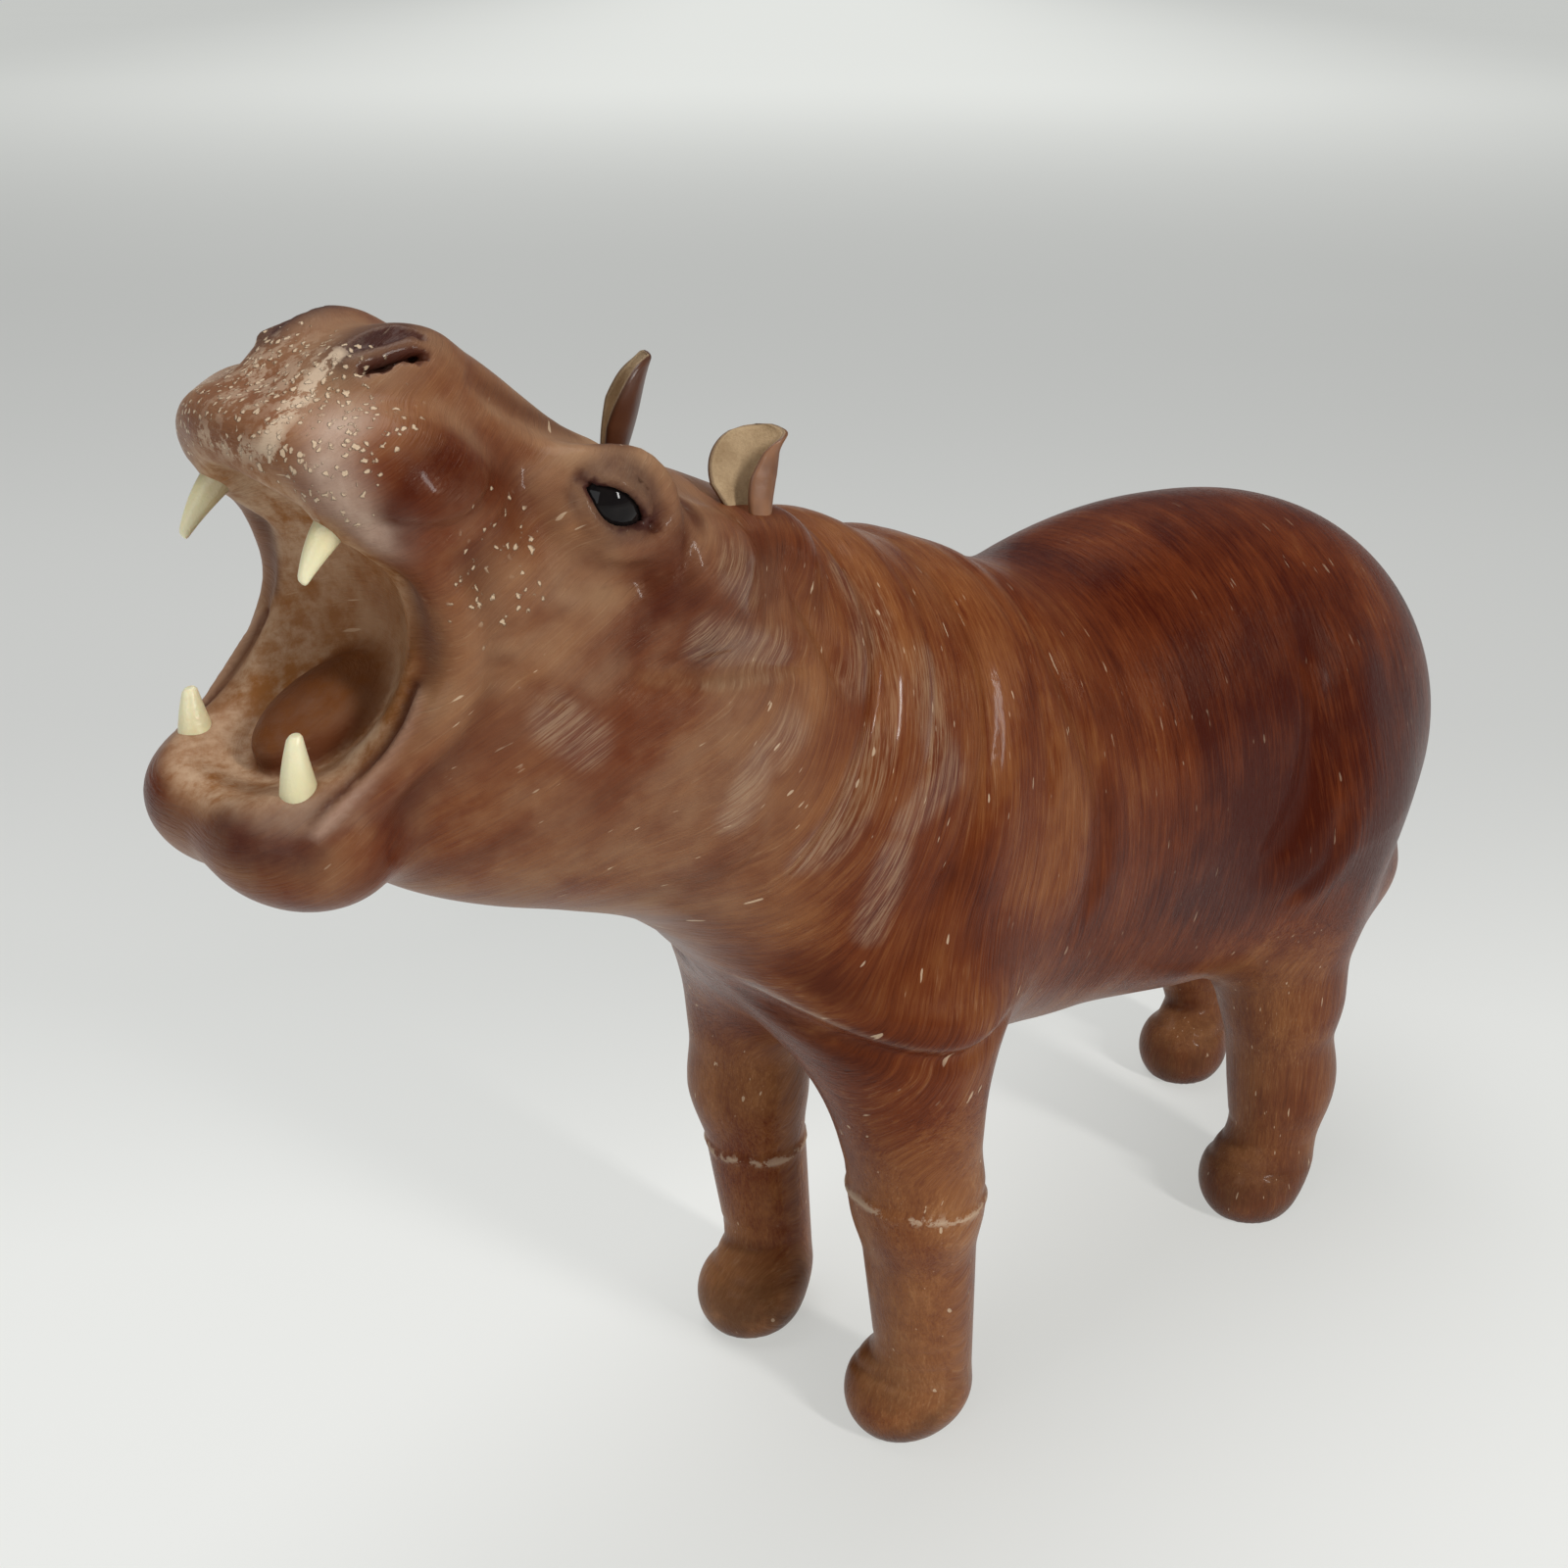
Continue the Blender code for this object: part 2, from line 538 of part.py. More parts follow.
def build():
    clear_scene()
    leather = material("glazed_leather", LEATHER_COLOR, 0.3)
    suede = material("ear_leather", SUEDE_COLOR, 0.7)
    bone = material("tusk", TUSK_COLOR, 0.35)
    glass = material("black_glass", GLASS_COLOR, 0.05)
    upper = (UPPER_TUSK_PLACE, UPPER_TUSK_WAY, UPPER_TUSK_BEND, UPPER_TUSK_DIAMETER)
    lower = (LOWER_TUSK_PLACE, LOWER_TUSK_WAY, LOWER_TUSK_BEND, LOWER_TUSK_DIAMETER)
    body = make_body(leather)
    pieces = [body]
    for n, (side, hand) in enumerate(((-1, "left"), (1, "right"))):
        ear = (side, EARS[n], EAR_HEIGHTS[n], EAR_CURLS[n], EAR_FOLDS[n])
        made = (
            ("eye_" + hand, eye_mesh, (side,), glass),
            ("ear_" + hand, ear_mesh, ear, suede),
            ("upper_tusk_" + hand, tusk_mesh, (side, *upper, UPPER_TUSK_LENGTHS[n]), bone),
            ("lower_tusk_" + hand, tusk_mesh, (side, *lower, LOWER_TUSK_LENGTHS[n]), bone),
        )
        for name, shape, values, finish in made:
            pieces.append(add_object(name, shape(name, *values, 0), finish))
            socket = shape(name + "_socket", *values, FIT_GAP)
            cut(body, add_object(name + "_socket", socket))
    figure = bpy.data.objects.new("figure", None)
    bpy.context.scene.collection.objects.link(figure)
    for thing in bpy.context.scene.objects:
        if thing is not figure:
            thing.parent = figure
    stand_at_origin(figure, pieces)


build()
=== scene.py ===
"""The looks of the leather hippopotamus figurine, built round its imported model.

The figure is described in shares of its own length, 400 from lower lip to rump, which are
millimetres at its real size. +X runs towards the tail, -Y is its left side, +Z is up.
"""
from math import cos, pi, radians, sin

import bmesh
import bpy
import numpy as np
from mathutils import Matrix, Vector


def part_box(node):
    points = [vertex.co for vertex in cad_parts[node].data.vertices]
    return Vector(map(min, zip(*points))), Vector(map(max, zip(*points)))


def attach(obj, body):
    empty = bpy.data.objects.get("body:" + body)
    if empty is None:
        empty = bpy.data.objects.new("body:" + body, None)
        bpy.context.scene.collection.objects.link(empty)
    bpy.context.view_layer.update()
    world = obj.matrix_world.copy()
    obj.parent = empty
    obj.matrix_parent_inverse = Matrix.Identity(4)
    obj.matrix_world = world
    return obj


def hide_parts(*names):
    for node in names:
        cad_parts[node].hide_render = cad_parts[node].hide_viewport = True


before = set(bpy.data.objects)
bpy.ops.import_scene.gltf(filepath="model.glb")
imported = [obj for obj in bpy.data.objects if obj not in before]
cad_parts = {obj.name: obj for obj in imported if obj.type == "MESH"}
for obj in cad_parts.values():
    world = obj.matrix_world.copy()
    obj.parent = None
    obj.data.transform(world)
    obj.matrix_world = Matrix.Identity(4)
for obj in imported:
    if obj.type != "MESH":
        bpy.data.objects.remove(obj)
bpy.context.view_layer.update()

# The body: one skin of thick leather laid wet over a form, worked by hand into its lips, lids,
# folds and feet, stained red-brown, rubbed with wax and varnished. The tongue and the short
# tail belong to the same skin, and the eyes, ears and tusks are set into it.
SHARE = 0.001                  # metres
SKIN_STEP = 1.3                # between the points of the skin
SKIN_TRIANGLES = 190000
MIDDLE_SOFTNESS = 4.0          # rounds the crease where a mirrored mass meets its twin
LOW_CORNER = (-236, -74, -6)   # box that holds the whole body, shares
HIGH_CORNER = (200, 74, 334)
TRUNK = (
    ((48, 0, 167), (112, 55, 68.5), -10, 0),          # barrel of the ribs
    ((115, 7, 156), (64, 50, 61), -3, 26),            # haunches
    ((78, 12, 131), (52, 36, 36), -4, 20),            # belly
    ((134, 28, 116), (24, 22, 20), 0, 6),             # buttocks
    ((-42, 7, 180), (56, 48, 66), 10, 26),            # shoulders
    ((-89, 0, 213), (62, 47, 51), 34, 24),            # neck
)
HEAD = (
    ((-133, 5, 234), (46, 40, 49), 25, 18),           # skull and jaw muscles
    ((-150, 4.5, 278), (45, 28, 15), 45, 16),         # bridge of the nose
    ((-180, 8, 289), (24.5, 21, 25), 33, 10),         # muzzle
    ((-182, 23, 290), (19, 17, 14), 32, 4),           # whisker pads
    ((-164, 8, 234.5), (39, 28, 36), 18, 14),         # lower jaw
    ((-204, 12.7, 223.5), (18.5, 20.5, 14.5), 8, 8),  # chin
    ((-154, 23, 257), (29, 15.5, 34), 10, 10),        # cheeks, beside the mouth
    ((-170, 25, 269), (10, 10, 12), 0, 8),            # their front, under the whisker pads
)
NOSTRIL = ((-177, 13.5, 308), (12, 8, 8), -10, 5)
NOSTRIL_PIT = ((-180.5, 17.5, 313), (7.5, 2.8, 5), -12, 1.5)
TEMPLE = ((-124, 33, 264), (14, 12, 12), 0, 10)
EAR_BUMP = ((-99, 25, 260.5), (12, 11, 10.5), 0, 8)
TONGUE = ((-188, 0, 241.5), (20, 13, 8), -20, 3)
MOUTH = (                                             # carved out: under the palate, over the jaw
    ((-206, 0, 268), (31, 31, 25), 30, 4),
    ((-207, 0, 257), (31, 31, 25), -12, 4),
)
LIPS = (
    ((-202, 3, 299), (-200, 18, 298), (-196, 26, 292), (-186, 32.5, 280), (-179.5, 34.5, 262),
     (-185, 33, 248), (-199, 28, 235), (-212, 17, 225), (-215, 4, 224)),
    (5.0, 4.6, 4.0, 3.2, 3.0, 3.2, 3.6, 4.2, 4.4), 8)
BRIDGE_EDGE = (((-166, 10, 301), (-138, 17, 278)), (7, 8), 8)
BROW = (
    ((-156, 31, 288), (-149, 33.5, 291.5), (-140, 36, 289), (-134, 38.5, 281), (-134, 40, 270)),
    (2.0, 3.2, 3.8, 3.4, 2.5), 8)
LOWER_LID = (((-154, 36, 281), (-147, 39.5, 275.5), (-139, 40, 275)), (2.4, 2.8, 2.4), 5)
TAIL = (((168, 0, 196), (178, 0, 180), (181, 0, 164), (180, 0, 148)), (5.5, 5.0, 4.2, 3.4), 4)
LEGS = (
    ((-62, -35, 141), 24, (-56, -37.5, 84), 15.8, (-47.5, -35, 18.5), 12.7, (-51.5, -30.5), 15.4),
    ((-51, 31, 144), 23, (-50, 36, 82), 15.5, (-44.5, 32, 20), 12.2, (-54.5, 29.5), 15.2),
    ((101, -31, 145), 31, (107.5, -35, 82), 17.5, (110.5, -36.5, 23), 13.2, (102.5, -35), 15.8),
    ((136, 32, 140), 31, (149, 34, 83), 17, (164, 33, 26), 11.5, (152, 30), 15),
)
HIP_BLEND, KNEE_BLEND, FOOT_BLEND = 20, 8, 6   # how widely the legs' masses run together
FOOT_LENGTHEN = 1.5            # a foot is this much longer than it is wide
FOOT_RISE = 0.64               # height of a foot's widest part, as a share of its radius
HOCK_TALLER = 1.3
HOCKS = (                      # swellings at the back of the rear legs: centre, radius
    ((113, -38, 50), 13.5),
    ((163, 36, 50), 13.0),
)
GROUND = 4.5                   # the ground's height in these shares; the body is cut flat there
FOLDS = (
    (((-101, 266), (-99, 256), (-94, 244), (-90, 230)), 3.5, 1.5, 1, False),
    (((-72, 270), (-71, 252), (-75, 240), (-84, 222), (-96, 200), (-104, 186)), 5, 2.6, 1, True),
    (((-44, 256), (-43, 236), (-48, 215), (-60, 190), (-72, 168)), 5, 1.8, 1, True),
    (((-16, 246), (-16, 228), (-13, 206), (-9, 190), (-10, 168), (-18, 146)), 6, 2.4, -1, True),
    (((83, 212), (80, 190), (74, 168), (67, 153), (57, 140)), 9, 2.6, 1, False),
    (((-150, 254), (-141, 250), (-125, 248), (-107, 246)), 4, 1.6, -1, False),
    (((-109, 157), (-96, 147), (-80, 140), (-62, 136), (-42, 139)), 4.5, 2.4, 1, False),
)
FOLD_FLOOR = 70                # folds fade out below this height
EYE_PLACE = (-146.5, 37, 283.3)        # middle of the socket's rim
EYE_OUTWARD = (-0.25, 1.0, 0.12)
UPPER_TUSK_PLACE = (-195.0, 21.5, 287)   # where the tusk leaves the gum
UPPER_TUSK_WAY = (-0.80, 0.05, -0.60)
LOWER_TUSK_PLACE = (-207.5, 20.5, 228)
LOWER_TUSK_WAY = (-0.20, 0.05, 1.0)
EYE_RADIUS = 7.6
EYE_PROUD = 4.4                # how far the glass stands out of its socket's rim
LID_OPENING = (7.4, 4.1, 2.6)  # half its length, its rise above and below the corners
CORNER_CREASES = ((-5.8, -8.2, -0.5), (5.8, 9.2, -0.4))   # along the lids: start, end, rise
CREASE_RADIUS = 1.0
LID_ROLLS = ((LID_OPENING[1], 1.7, 1.7), (-LID_OPENING[2], -1.0, 1.0))   # rise, how far past, radius
LID_LINE = (11, 6, -9)         # from its front corner to its back corner
LID_THICKNESS = 1.7
NOSTRIL_FOLD = ((-187.0, 15.6, 311.2), (-175.5, 17.4, 313.4))
NOSTRIL_FOLD_RADIUS = 1.9
SLIT_RADIUS = 0.9
NOSTRIL_SLITS = (
    ((-187, 13.2, 313.6), (-176.5, 13.8, 316.2)),
    ((-182.5, 19.2, 309.8), (-175, 20.0, 311.6)),
)
WORN_BAND = ((-188.5, -12, 312.5), (-196, -13, 307), (-204, -16.5, 302), (-205.5, -16.5, 299))
WORN_LIP = ((-205.5, -16.5, 299), (-207, -5.5, 297.5), (-207, 8, 298.5))
FLAKED_FRONT = ((-200, 0, 306), (-194, 6, 309))
PAD_MIDDLE = (-182, 37.5, 297)
MUZZLE_FRONT = (-202, 0, 303)
PAD_HAZE = ((-196, 25, 304), (-201, 28, 297), (-199, 32, 290), (-195, 34, 285))
PAD_CREASE = ((-189, 37, 296), (-193.5, 36.5, 290), (-192, 37, 285))
PALE_FOLDS = ((-172, 33, 300), (-164, 36, 294), (-160, 39, 284), (-160, 40, 268))
LIP_STAIN = ((-220.5, -13, 230.5), (-219.5, -21, 228), (-213, -29, 227))
EYE_BAG = ((-133.5, 42.5, 275), (-136, 43, 266), (-140, 41.5, 266))
AMBER_CHEEK = ((-183, -26, 262), (-176, -12, 268), (-175, -3, 263))
RIM_LINE = (                   # the ridge inside the lower lip, with a groove beside it
    (-210, 30, 231), (-206, 30, 234), (-201, 30.5, 237.5), (-195.5, 31.5, 242),
    (-191, 31.5, 247), (-187, 30.5, 252.5))
LIP_SLIT = ((-192, 32.5, 270), (-187, 34, 261), (-190, 32.5, 250))
GUMS = ((UPPER_TUSK_PLACE, UPPER_TUSK_WAY, 4.6), (LOWER_TUSK_PLACE, LOWER_TUSK_WAY, 6.0))
SEAMS = ((-52, -37, 85, -0.12), (-48, 34, 62, 0.03))   # each front leg: x, y, height, tilt
ANKLE_HEIGHTS = (23, 29, 36)   # of the wrinkles
MOUTH_REACH = ((-204, 0, 262), (27, 34, 36), 10)       # what takes the mouth's colours
SPOTTED = (((-200, 8, 300), (24, 30, 20), -1.2, -0.6, 1),    # where the pale flecks lie
           ((-173, 36, 275), (13, 14, 19), -1.1, -0.5, 0.5))
GRAIN_PIVOT = (-85, 215)       # the brushed grain turns round here, from trunk to head
LEG_AXIS = 37                  # how far out the legs' middles are

# Crests of the folds on the cheek, neck and shoulder, given painted highlights and a glossier coat
CRESTS = (
    ((-123, 44, 268), (-115.5, 42.5, 260)),
    ((-76.5, 28.5, 252), (-76, 34.5, 243), (-86, 43, 235)),
    ((-65.5, 43, 233), (-68.5, 48, 221), (-64, 50.5, 208.5), (-77, 50.5, 200)),
    ((-108, 45.5, 229), (-118, 46, 222), (-122, 44, 213)),
    ((-84.5, 45.5, 218), (-91.5, 45, 206), (-101, 42, 196)),
    ((-80, 49.5, 193), (-82.5, 44.5, 172)),
    ((-129, 43.5, 254), (-109.5, 41.5, 246)),
    ((-164, 40, 244), (-157.5, 41.5, 238)),
)

# The colours of the stain, of the wax and of what is worn bare, some also used for painted shade,
# highlights and light
DEEP_MAROON = (0.050, 0.005, 0.001, 1)
RED_BROWN = (0.125, 0.024, 0.005, 1)
CHESTNUT = (0.225, 0.074, 0.020, 1)
AMBER_TAN = (0.36, 0.155, 0.055, 1)
# also the colour of painted sheen and painted highlights
WAX_HAZE_AND_SHEEN = (0.34, 0.220, 0.130, 1)
PAD_PALE = (0.48, 0.35, 0.27, 1)
FOOT_BROWN = (0.075, 0.028, 0.013, 1)
CREAM_NICK = (0.66, 0.50, 0.34, 1)
FLAKE_TAN = (0.60, 0.46, 0.33, 1)
MOUTH_AMBER = (0.27, 0.098, 0.018, 1)
# dust in the mouth, made pale enough to stand for painted light inside the mouth too
MOUTH_DUST_AND_LIGHT = (0.54, 0.38, 0.25, 1)
TONGUE_RED = (0.115, 0.030, 0.008, 1)
# painted highlight along the ridge inside the lower lip
RIM_PAINTED_HIGHLIGHT = (0.42, 0.27, 0.20, 1)
GUM_PLASTER = (0.52, 0.44, 0.34, 1)
LIP_PURPLE = (0.036, 0.013, 0.015, 1)

# Small folds, written like the large ones
WRINKLES = (
    (((-200, 288), (-186, 285), (-177, 287), (-169, 293)), 3.0, 1.5, 1, False),
    (((-168, 307), (-156, 299), (-145, 294), (-137, 290)), 3.2, 1.2, 1, False),
    (((-60, 252), (-59, 240), (-64, 225), (-75, 203)), 2.4, 0.7, 1, True),
    (((-31, 248), (-30, 230), (-30, 210), (-34, 190)), 2.4, 0.7, 1, True),
    (((-178, 262), (-168, 262), (-158, 265)), 2.0, 0.7, 1, False),
    (((-178, 256), (-168, 252), (-160, 246)), 2.0, 0.6, 1, False),
    (((-160, 271), (-150, 268), (-141, 268), (-133, 272)), 2.4, 0.9, -1, False),
    (((-131, 287), (-131, 280), (-132.5, 273), (-136, 263)), 2.8, 1.4, 1, False),
    (((-118, 232), (-112, 218), (-112, 202), (-120, 190)), 3.5, 0.8, 1, False),
    (((84, 160), (80, 144), (70, 130)), 3.0, 0.8, 1, False),
    (((-136, 248), (-124, 245), (-110, 243), (-96, 240)), 3.0, 1.5, 1, False),
)


def length(*parts):
    return np.sqrt(sum(part * part for part in parts))


def off_from(p, middle):
    """How far points are from one place."""
    return length(*(part - m for part, m in zip(p, middle)))


def egg(p, centre, half_sizes, pitch):
    """An ellipsoid whose front (-X) end is lifted by pitch degrees."""
    x, y, z = (part - middle for part, middle in zip(p, centre))
    c, s = cos(radians(pitch)), sin(radians(pitch))
    x, z = x * c - z * s, x * s + z * c
    a, b, h = half_sizes
    near = length(x / a, y / b, z / h)
    slope = length(x / a**2, y / b**2, z / h**2) + 1e-9
    return near * (near - 1) / slope


def limb(p, start, end, start_radius, end_radius):
    """A round bar that tapers from one ball to another."""
    start, end = np.array(start, float), np.array(end, float)
    way = end - start
    along = sum((part - s) * w for part, s, w in zip(p, start, way)) / (way @ way)
    along = np.clip(along, 0, 1)
    off = length(*(part - s - along * w for part, s, w in zip(p, start, way)))
    return off - start_radius - (end_radius - start_radius) * along


def join(one, other, blend):
    """The union of two shapes, rounded where they meet over the width of the blend."""
    if not blend:
        return np.minimum(one, other)
    overlap = np.maximum(blend - np.abs(one - other), 0) / blend
    return np.minimum(one, other) - overlap**2 * blend / 4


def carve(shape, hollow, blend):
    """The shape without the hollow, its edge rounded over the width of the blend."""
    return -join(-shape, hollow, blend)


def smooth_line(points, parts=4):
    """Points on a smooth curve through the given ones (Catmull-Rom)."""
    given = np.array(points, float)
    given = np.vstack([2 * given[0] - given[1], given, 2 * given[-1] - given[-2]])
    line = []
    for a, b, c, d in zip(given, given[1:], given[2:], given[3:]):
        for t in np.arange(parts) / parts:
            line.append(0.5 * (2 * b + (c - a) * t + (2 * a - 5 * b + 4 * c - d) * t**2
                               + (3 * b - a - 3 * c + d) * t**3))
    line.append(given[-2])
    return np.array(line)


def ridge(p, points, radii):
    """A round bar along a smooth curve."""
    line = smooth_line(points)
    share = np.linspace(0, 1, len(line))
    widths = np.interp(share, np.linspace(0, 1, len(radii)), radii)
    bars = [limb(p, *bar) for bar in zip(line, line[1:], widths, widths[1:])]
    return np.minimum.reduce(bars)


def body_form(p):
    """The body without its folds: masses, then the mouth, then what lies in and around it."""
    x, y, z = p
    half = (x, np.sqrt(y * y + MIDDLE_SOFTNESS**2), z)
    shape = None
    for *form, blend in TRUNK + HEAD:
        mass = egg(half, *form)
        shape = mass if shape is None else join(shape, mass, blend)
    *bar, blend = BRIDGE_EDGE
    shape = join(shape, ridge(half, *bar), blend)
    for *form, blend in MOUTH:
        shape = carve(shape, egg(half, *form), blend)
    for *form, blend in (NOSTRIL, TEMPLE, EAR_BUMP, TONGUE):
        shape = join(shape, egg(half, *form), blend)
    for *bar, blend in (LIPS, BROW, LOWER_LID):
        shape = join(shape, ridge(half, *bar), blend)
    *form, blend = NOSTRIL_PIT
    shape = carve(shape, egg(half, *form), blend)
    *bar, blend = TAIL
    return with_legs(p, join(shape, ridge(p, *bar), blend))


def with_legs(p, shape):
    """The shape with its four legs; the feet run a little below the ground."""
    for hip, hip_radius, knee, knee_radius, ankle, ankle_radius, stand, foot_radius in LEGS:
        shape = join(shape, limb(p, hip, knee, hip_radius, knee_radius), HIP_BLEND)
        shape = join(shape, limb(p, knee, ankle, knee_radius, ankle_radius), KNEE_BLEND)
        middle = (stand[0], stand[1], GROUND + foot_radius * FOOT_RISE)
        half_sizes = (foot_radius + FOOT_LENGTHEN, foot_radius, foot_radius)
        shape = join(shape, egg(p, middle, half_sizes, 0), FOOT_BLEND)
    for centre, radius in HOCKS:
        half_sizes = (radius, radius, radius * HOCK_TALLER)
        shape = join(shape, egg(p, centre, half_sizes, 0), KNEE_BLEND)
    return shape


def fold_height(p, points, width, depth, swell_side, over_top):
    """How far a fold lifts the skin: a groove, with a soft roll along one side of it."""
    x, y, z = p
    line = smooth_line(points)
    steps = np.diff(line, axis=0)
    run = np.concatenate([[0], np.cumsum(np.hypot(*steps.T))])
    run /= run[-1]
    nearest = np.full(x.shape, 1e9)
    across = np.zeros(x.shape)
    place = np.zeros(x.shape)
    for start, step, begin, finish in zip(line, steps, run, run[1:]):
        part = ((x - start[0]) * step[0] + (z - start[1]) * step[1]) / (step @ step)
        part = np.clip(part, 0, 1)
        dx, dz = x - start[0] - part * step[0], z - start[1] - part * step[1]
        distance = np.hypot(dx, dz)
        closer = distance < nearest
        nearest = np.where(closer, distance, nearest)
        turn = np.where(dx * step[1] - dz * step[0] >= 0, 1.0, -1.0)
        across = np.where(closer, distance * turn, across)
        place = np.where(closer, begin + part * (finish - begin), place)
    fade = np.clip(np.minimum(place, 1 - place) * 6, 0, 1)
    if not over_top:
        fade = fade * np.clip((np.abs(y) - 6) / 16, 0, 1)
    across = across * -swell_side / width
    groove = np.exp(-2.2 * across**2)
    roll = 0.6 * np.exp(-((across - 2.0) / 1.3) ** 2)
    return fade * depth * (roll - groove)


def surface_cells(field, low, high, step):
    """A net of quads round the inside of a field: one point in every cell that it crosses."""
    counts = [int(np.ceil((b - a) / step)) + 1 for a, b in zip(low, high)]
    x, y, z = (a + step * np.arange(n) for a, n in zip(low, counts))
    values = near_values(field, x, y, z, step)
    corners = [(i, j, k) for i in (0, 1) for j in (0, 1) for k in (0, 1)]
    cells = [n - 1 for n in values.shape]
    around = np.stack([values[i:i + cells[0], j:j + cells[1], k:k + cells[2]]
                       for i, j, k in corners], axis=-1)
    inside = (around < 0).sum(axis=-1)
    crossed = (inside > 0) & (inside < 8)
    number = np.full(crossed.shape, -1)
    number[crossed] = np.arange(crossed.sum())
    around = around[crossed]
    total = np.zeros((len(around), 3))
    hits = np.zeros(len(around))
    for a, first in enumerate(corners):
        for b, second in enumerate(corners):
            if b <= a or sum(abs(m - n) for m, n in zip(first, second)) != 1:
                continue
            cuts = (around[:, a] < 0) != (around[:, b] < 0)
            drop = np.where(cuts, around[:, a] - around[:, b], 1)
            share = (around[:, a] / drop)[:, None]
            point = np.array(first) + np.subtract(second, first) * share
            total += np.where(cuts[:, None], point, 0)
            hits += cuts
    points = np.array(low) + step * (np.argwhere(crossed) + total / hits[:, None])
    return points, np.concatenate([net_faces(values, number, axis) for axis in range(3)])


def net_faces(values, number, axis):
    """A quad for every grid edge along one axis that crosses the surface, facing out."""
    ahead = np.moveaxis(values, axis, 0)
    numbers = np.moveaxis(number, axis, 0)
    starts_in = ahead[:-1, 1:-1, 1:-1] < 0
    crossing = starts_in != (ahead[1:, 1:-1, 1:-1] < 0)
    i, j, k = (part[crossing] for part in np.indices(crossing.shape))
    quads = np.stack([numbers[i, j, k], numbers[i, j + 1, k],
                      numbers[i, j + 1, k + 1], numbers[i, j, k + 1]], axis=1)
    facing_out = starts_in[crossing] == (axis != 1)
    quads[~facing_out] = quads[~facing_out][:, ::-1]
    return quads


def near_values(field, x, y, z, step, skip=4):
    """The field on a grid: in full near its surface, and only roughly further off."""
    rough = field(np.meshgrid(x[::skip], y[::skip], z[::skip], indexing="ij"))
    picks = [np.minimum((np.arange(len(line)) + skip // 2) // skip, n - 1)
             for line, n in zip((x, y, z), rough.shape)]
    values = rough[np.ix_(*picks)]
    near = np.abs(values) < skip * step * 1.2 + 1.5
    i, j, k = np.nonzero(near)
    parts = [slice(n, n + 200000) for n in range(0, len(i), 200000)]
    values[near] = np.concatenate([field((x[i[part]], y[j[part]], z[k[part]]))
                                   for part in parts])
    return values


def settle(points, field, rounds=2, probe=0.2):
    """Move points down the field's slope onto its surface. Also gives the way out of it."""
    for _ in range(rounds):
        value = field(points.T)
        slope = np.stack([field((points + probe * way).T) - value for way in np.eye(3)], axis=1)
        slope /= probe
        steepness = np.maximum((slope**2).sum(axis=1), 0.1)
        points = points - (np.clip(value, -3, 3) / steepness)[:, None] * slope
    return points, slope / np.sqrt(steepness)[:, None]


def tube(p, start, end, radius):
    """A round bar of one radius."""
    return limb(p, start, end, radius, radius)


def eye_frame():
    """The right eye's middle, the way out of it, along its lids and across them."""
    outward = np.array(EYE_OUTWARD) / np.linalg.norm(EYE_OUTWARD)
    middle = np.array(EYE_PLACE) + outward * (EYE_PROUD - EYE_RADIUS)
    along = np.array(LID_LINE) - outward * (np.array(LID_LINE) @ outward)
    along /= np.linalg.norm(along)
    return middle, outward, along, np.cross(outward, along)


def with_lids(half, shape):
    """The eye's socket, its two lids with an almond opening, and their rolled edges."""
    middle, outward, along, across = eye_frame()
    d = [part - m for part, m in zip(half, middle)]
    u, v, w = (sum(part * a for part, a in zip(d, way)) for way in (along, across, outward))
    reach, above, below = LID_OPENING
    rise = 1 - (u / reach) ** 2
    opening = np.where(v > 0, v - above * rise, -v - below * rise)
    opening = opening / np.sqrt(1 + (2 * above * u / reach**2) ** 2)
    ball = length(*d)
    shape = carve(shape, ball - EYE_RADIUS - 0.1, 0.3)
    lids = np.abs(ball - EYE_RADIUS - 0.1 - LID_THICKNESS / 2) - LID_THICKNESS / 2
    shape = join(shape, np.maximum(lids, -opening), 2.2)
    shape = carve(shape, np.maximum(opening, 2 - w), 0.8)
    for start, end, drop in CORNER_CREASES:
        line = [middle + along * u_place + across * v_place + outward * w_place
                for u_place, v_place, w_place in ((start, 0, 7.0), (end, drop, 4.4))]
        shape = carve(shape, tube(half, *line, CREASE_RADIUS), 0.9)
    for height, roll, radius in LID_ROLLS:
        line = []
        for u_place in np.linspace(-reach, reach, 9):
            v_place = height * (1 - (u_place / reach) ** 2) + roll
            w_place = np.sqrt((EYE_RADIUS + 0.9) ** 2 - u_place**2 - v_place**2)
            line.append(middle + along * u_place + across * v_place + outward * w_place)
        for start, end in zip(line, line[1:]):
            shape = join(shape, tube(half, start, end, radius), 0.8)
    return shape


def skin_form(p):
    """The body's masses with its eyelids, nostrils, gums and the slit inside its lips."""
    half = (p[0], np.abs(p[1]), p[2])
    shape = with_lids(half, body_form(p))
    start, end = NOSTRIL_FOLD
    shape = join(shape, tube(half, start, end, NOSTRIL_FOLD_RADIUS), 1.0)
    for start, end in NOSTRIL_SLITS:
        shape = carve(shape, tube(half, start, end, SLIT_RADIUS), 1.0)
    shape = carve(shape, ridge(half, LIP_SLIT, (SLIT_RADIUS,) * 3), 1.2)
    for place, way, radius in GUMS:
        root, way = np.array(place), np.array(way) / np.linalg.norm(way)
        shape = join(shape, tube(half, root - way * 4, root - way * 0.5, radius), 3)
    return shape


def beside_rim(x, y, z):
    """Points moved so that the rim's line stands for the groove beside it."""
    return x, np.abs(y) + 2.6, z - 1.2


def above_seam(x, y, z):
    """How far each point is above its front leg's raised seam, and a large number elsewhere."""
    off = np.full(x.shape, 99.0)
    for middle_x, middle_y, height, tilt in SEAMS:
        over = z - height - tilt * (x + 50) + 0.5 * np.sin(y * 0.4)
        off = np.where(np.hypot(x - middle_x, y - middle_y) < 30, over, off)
    return off


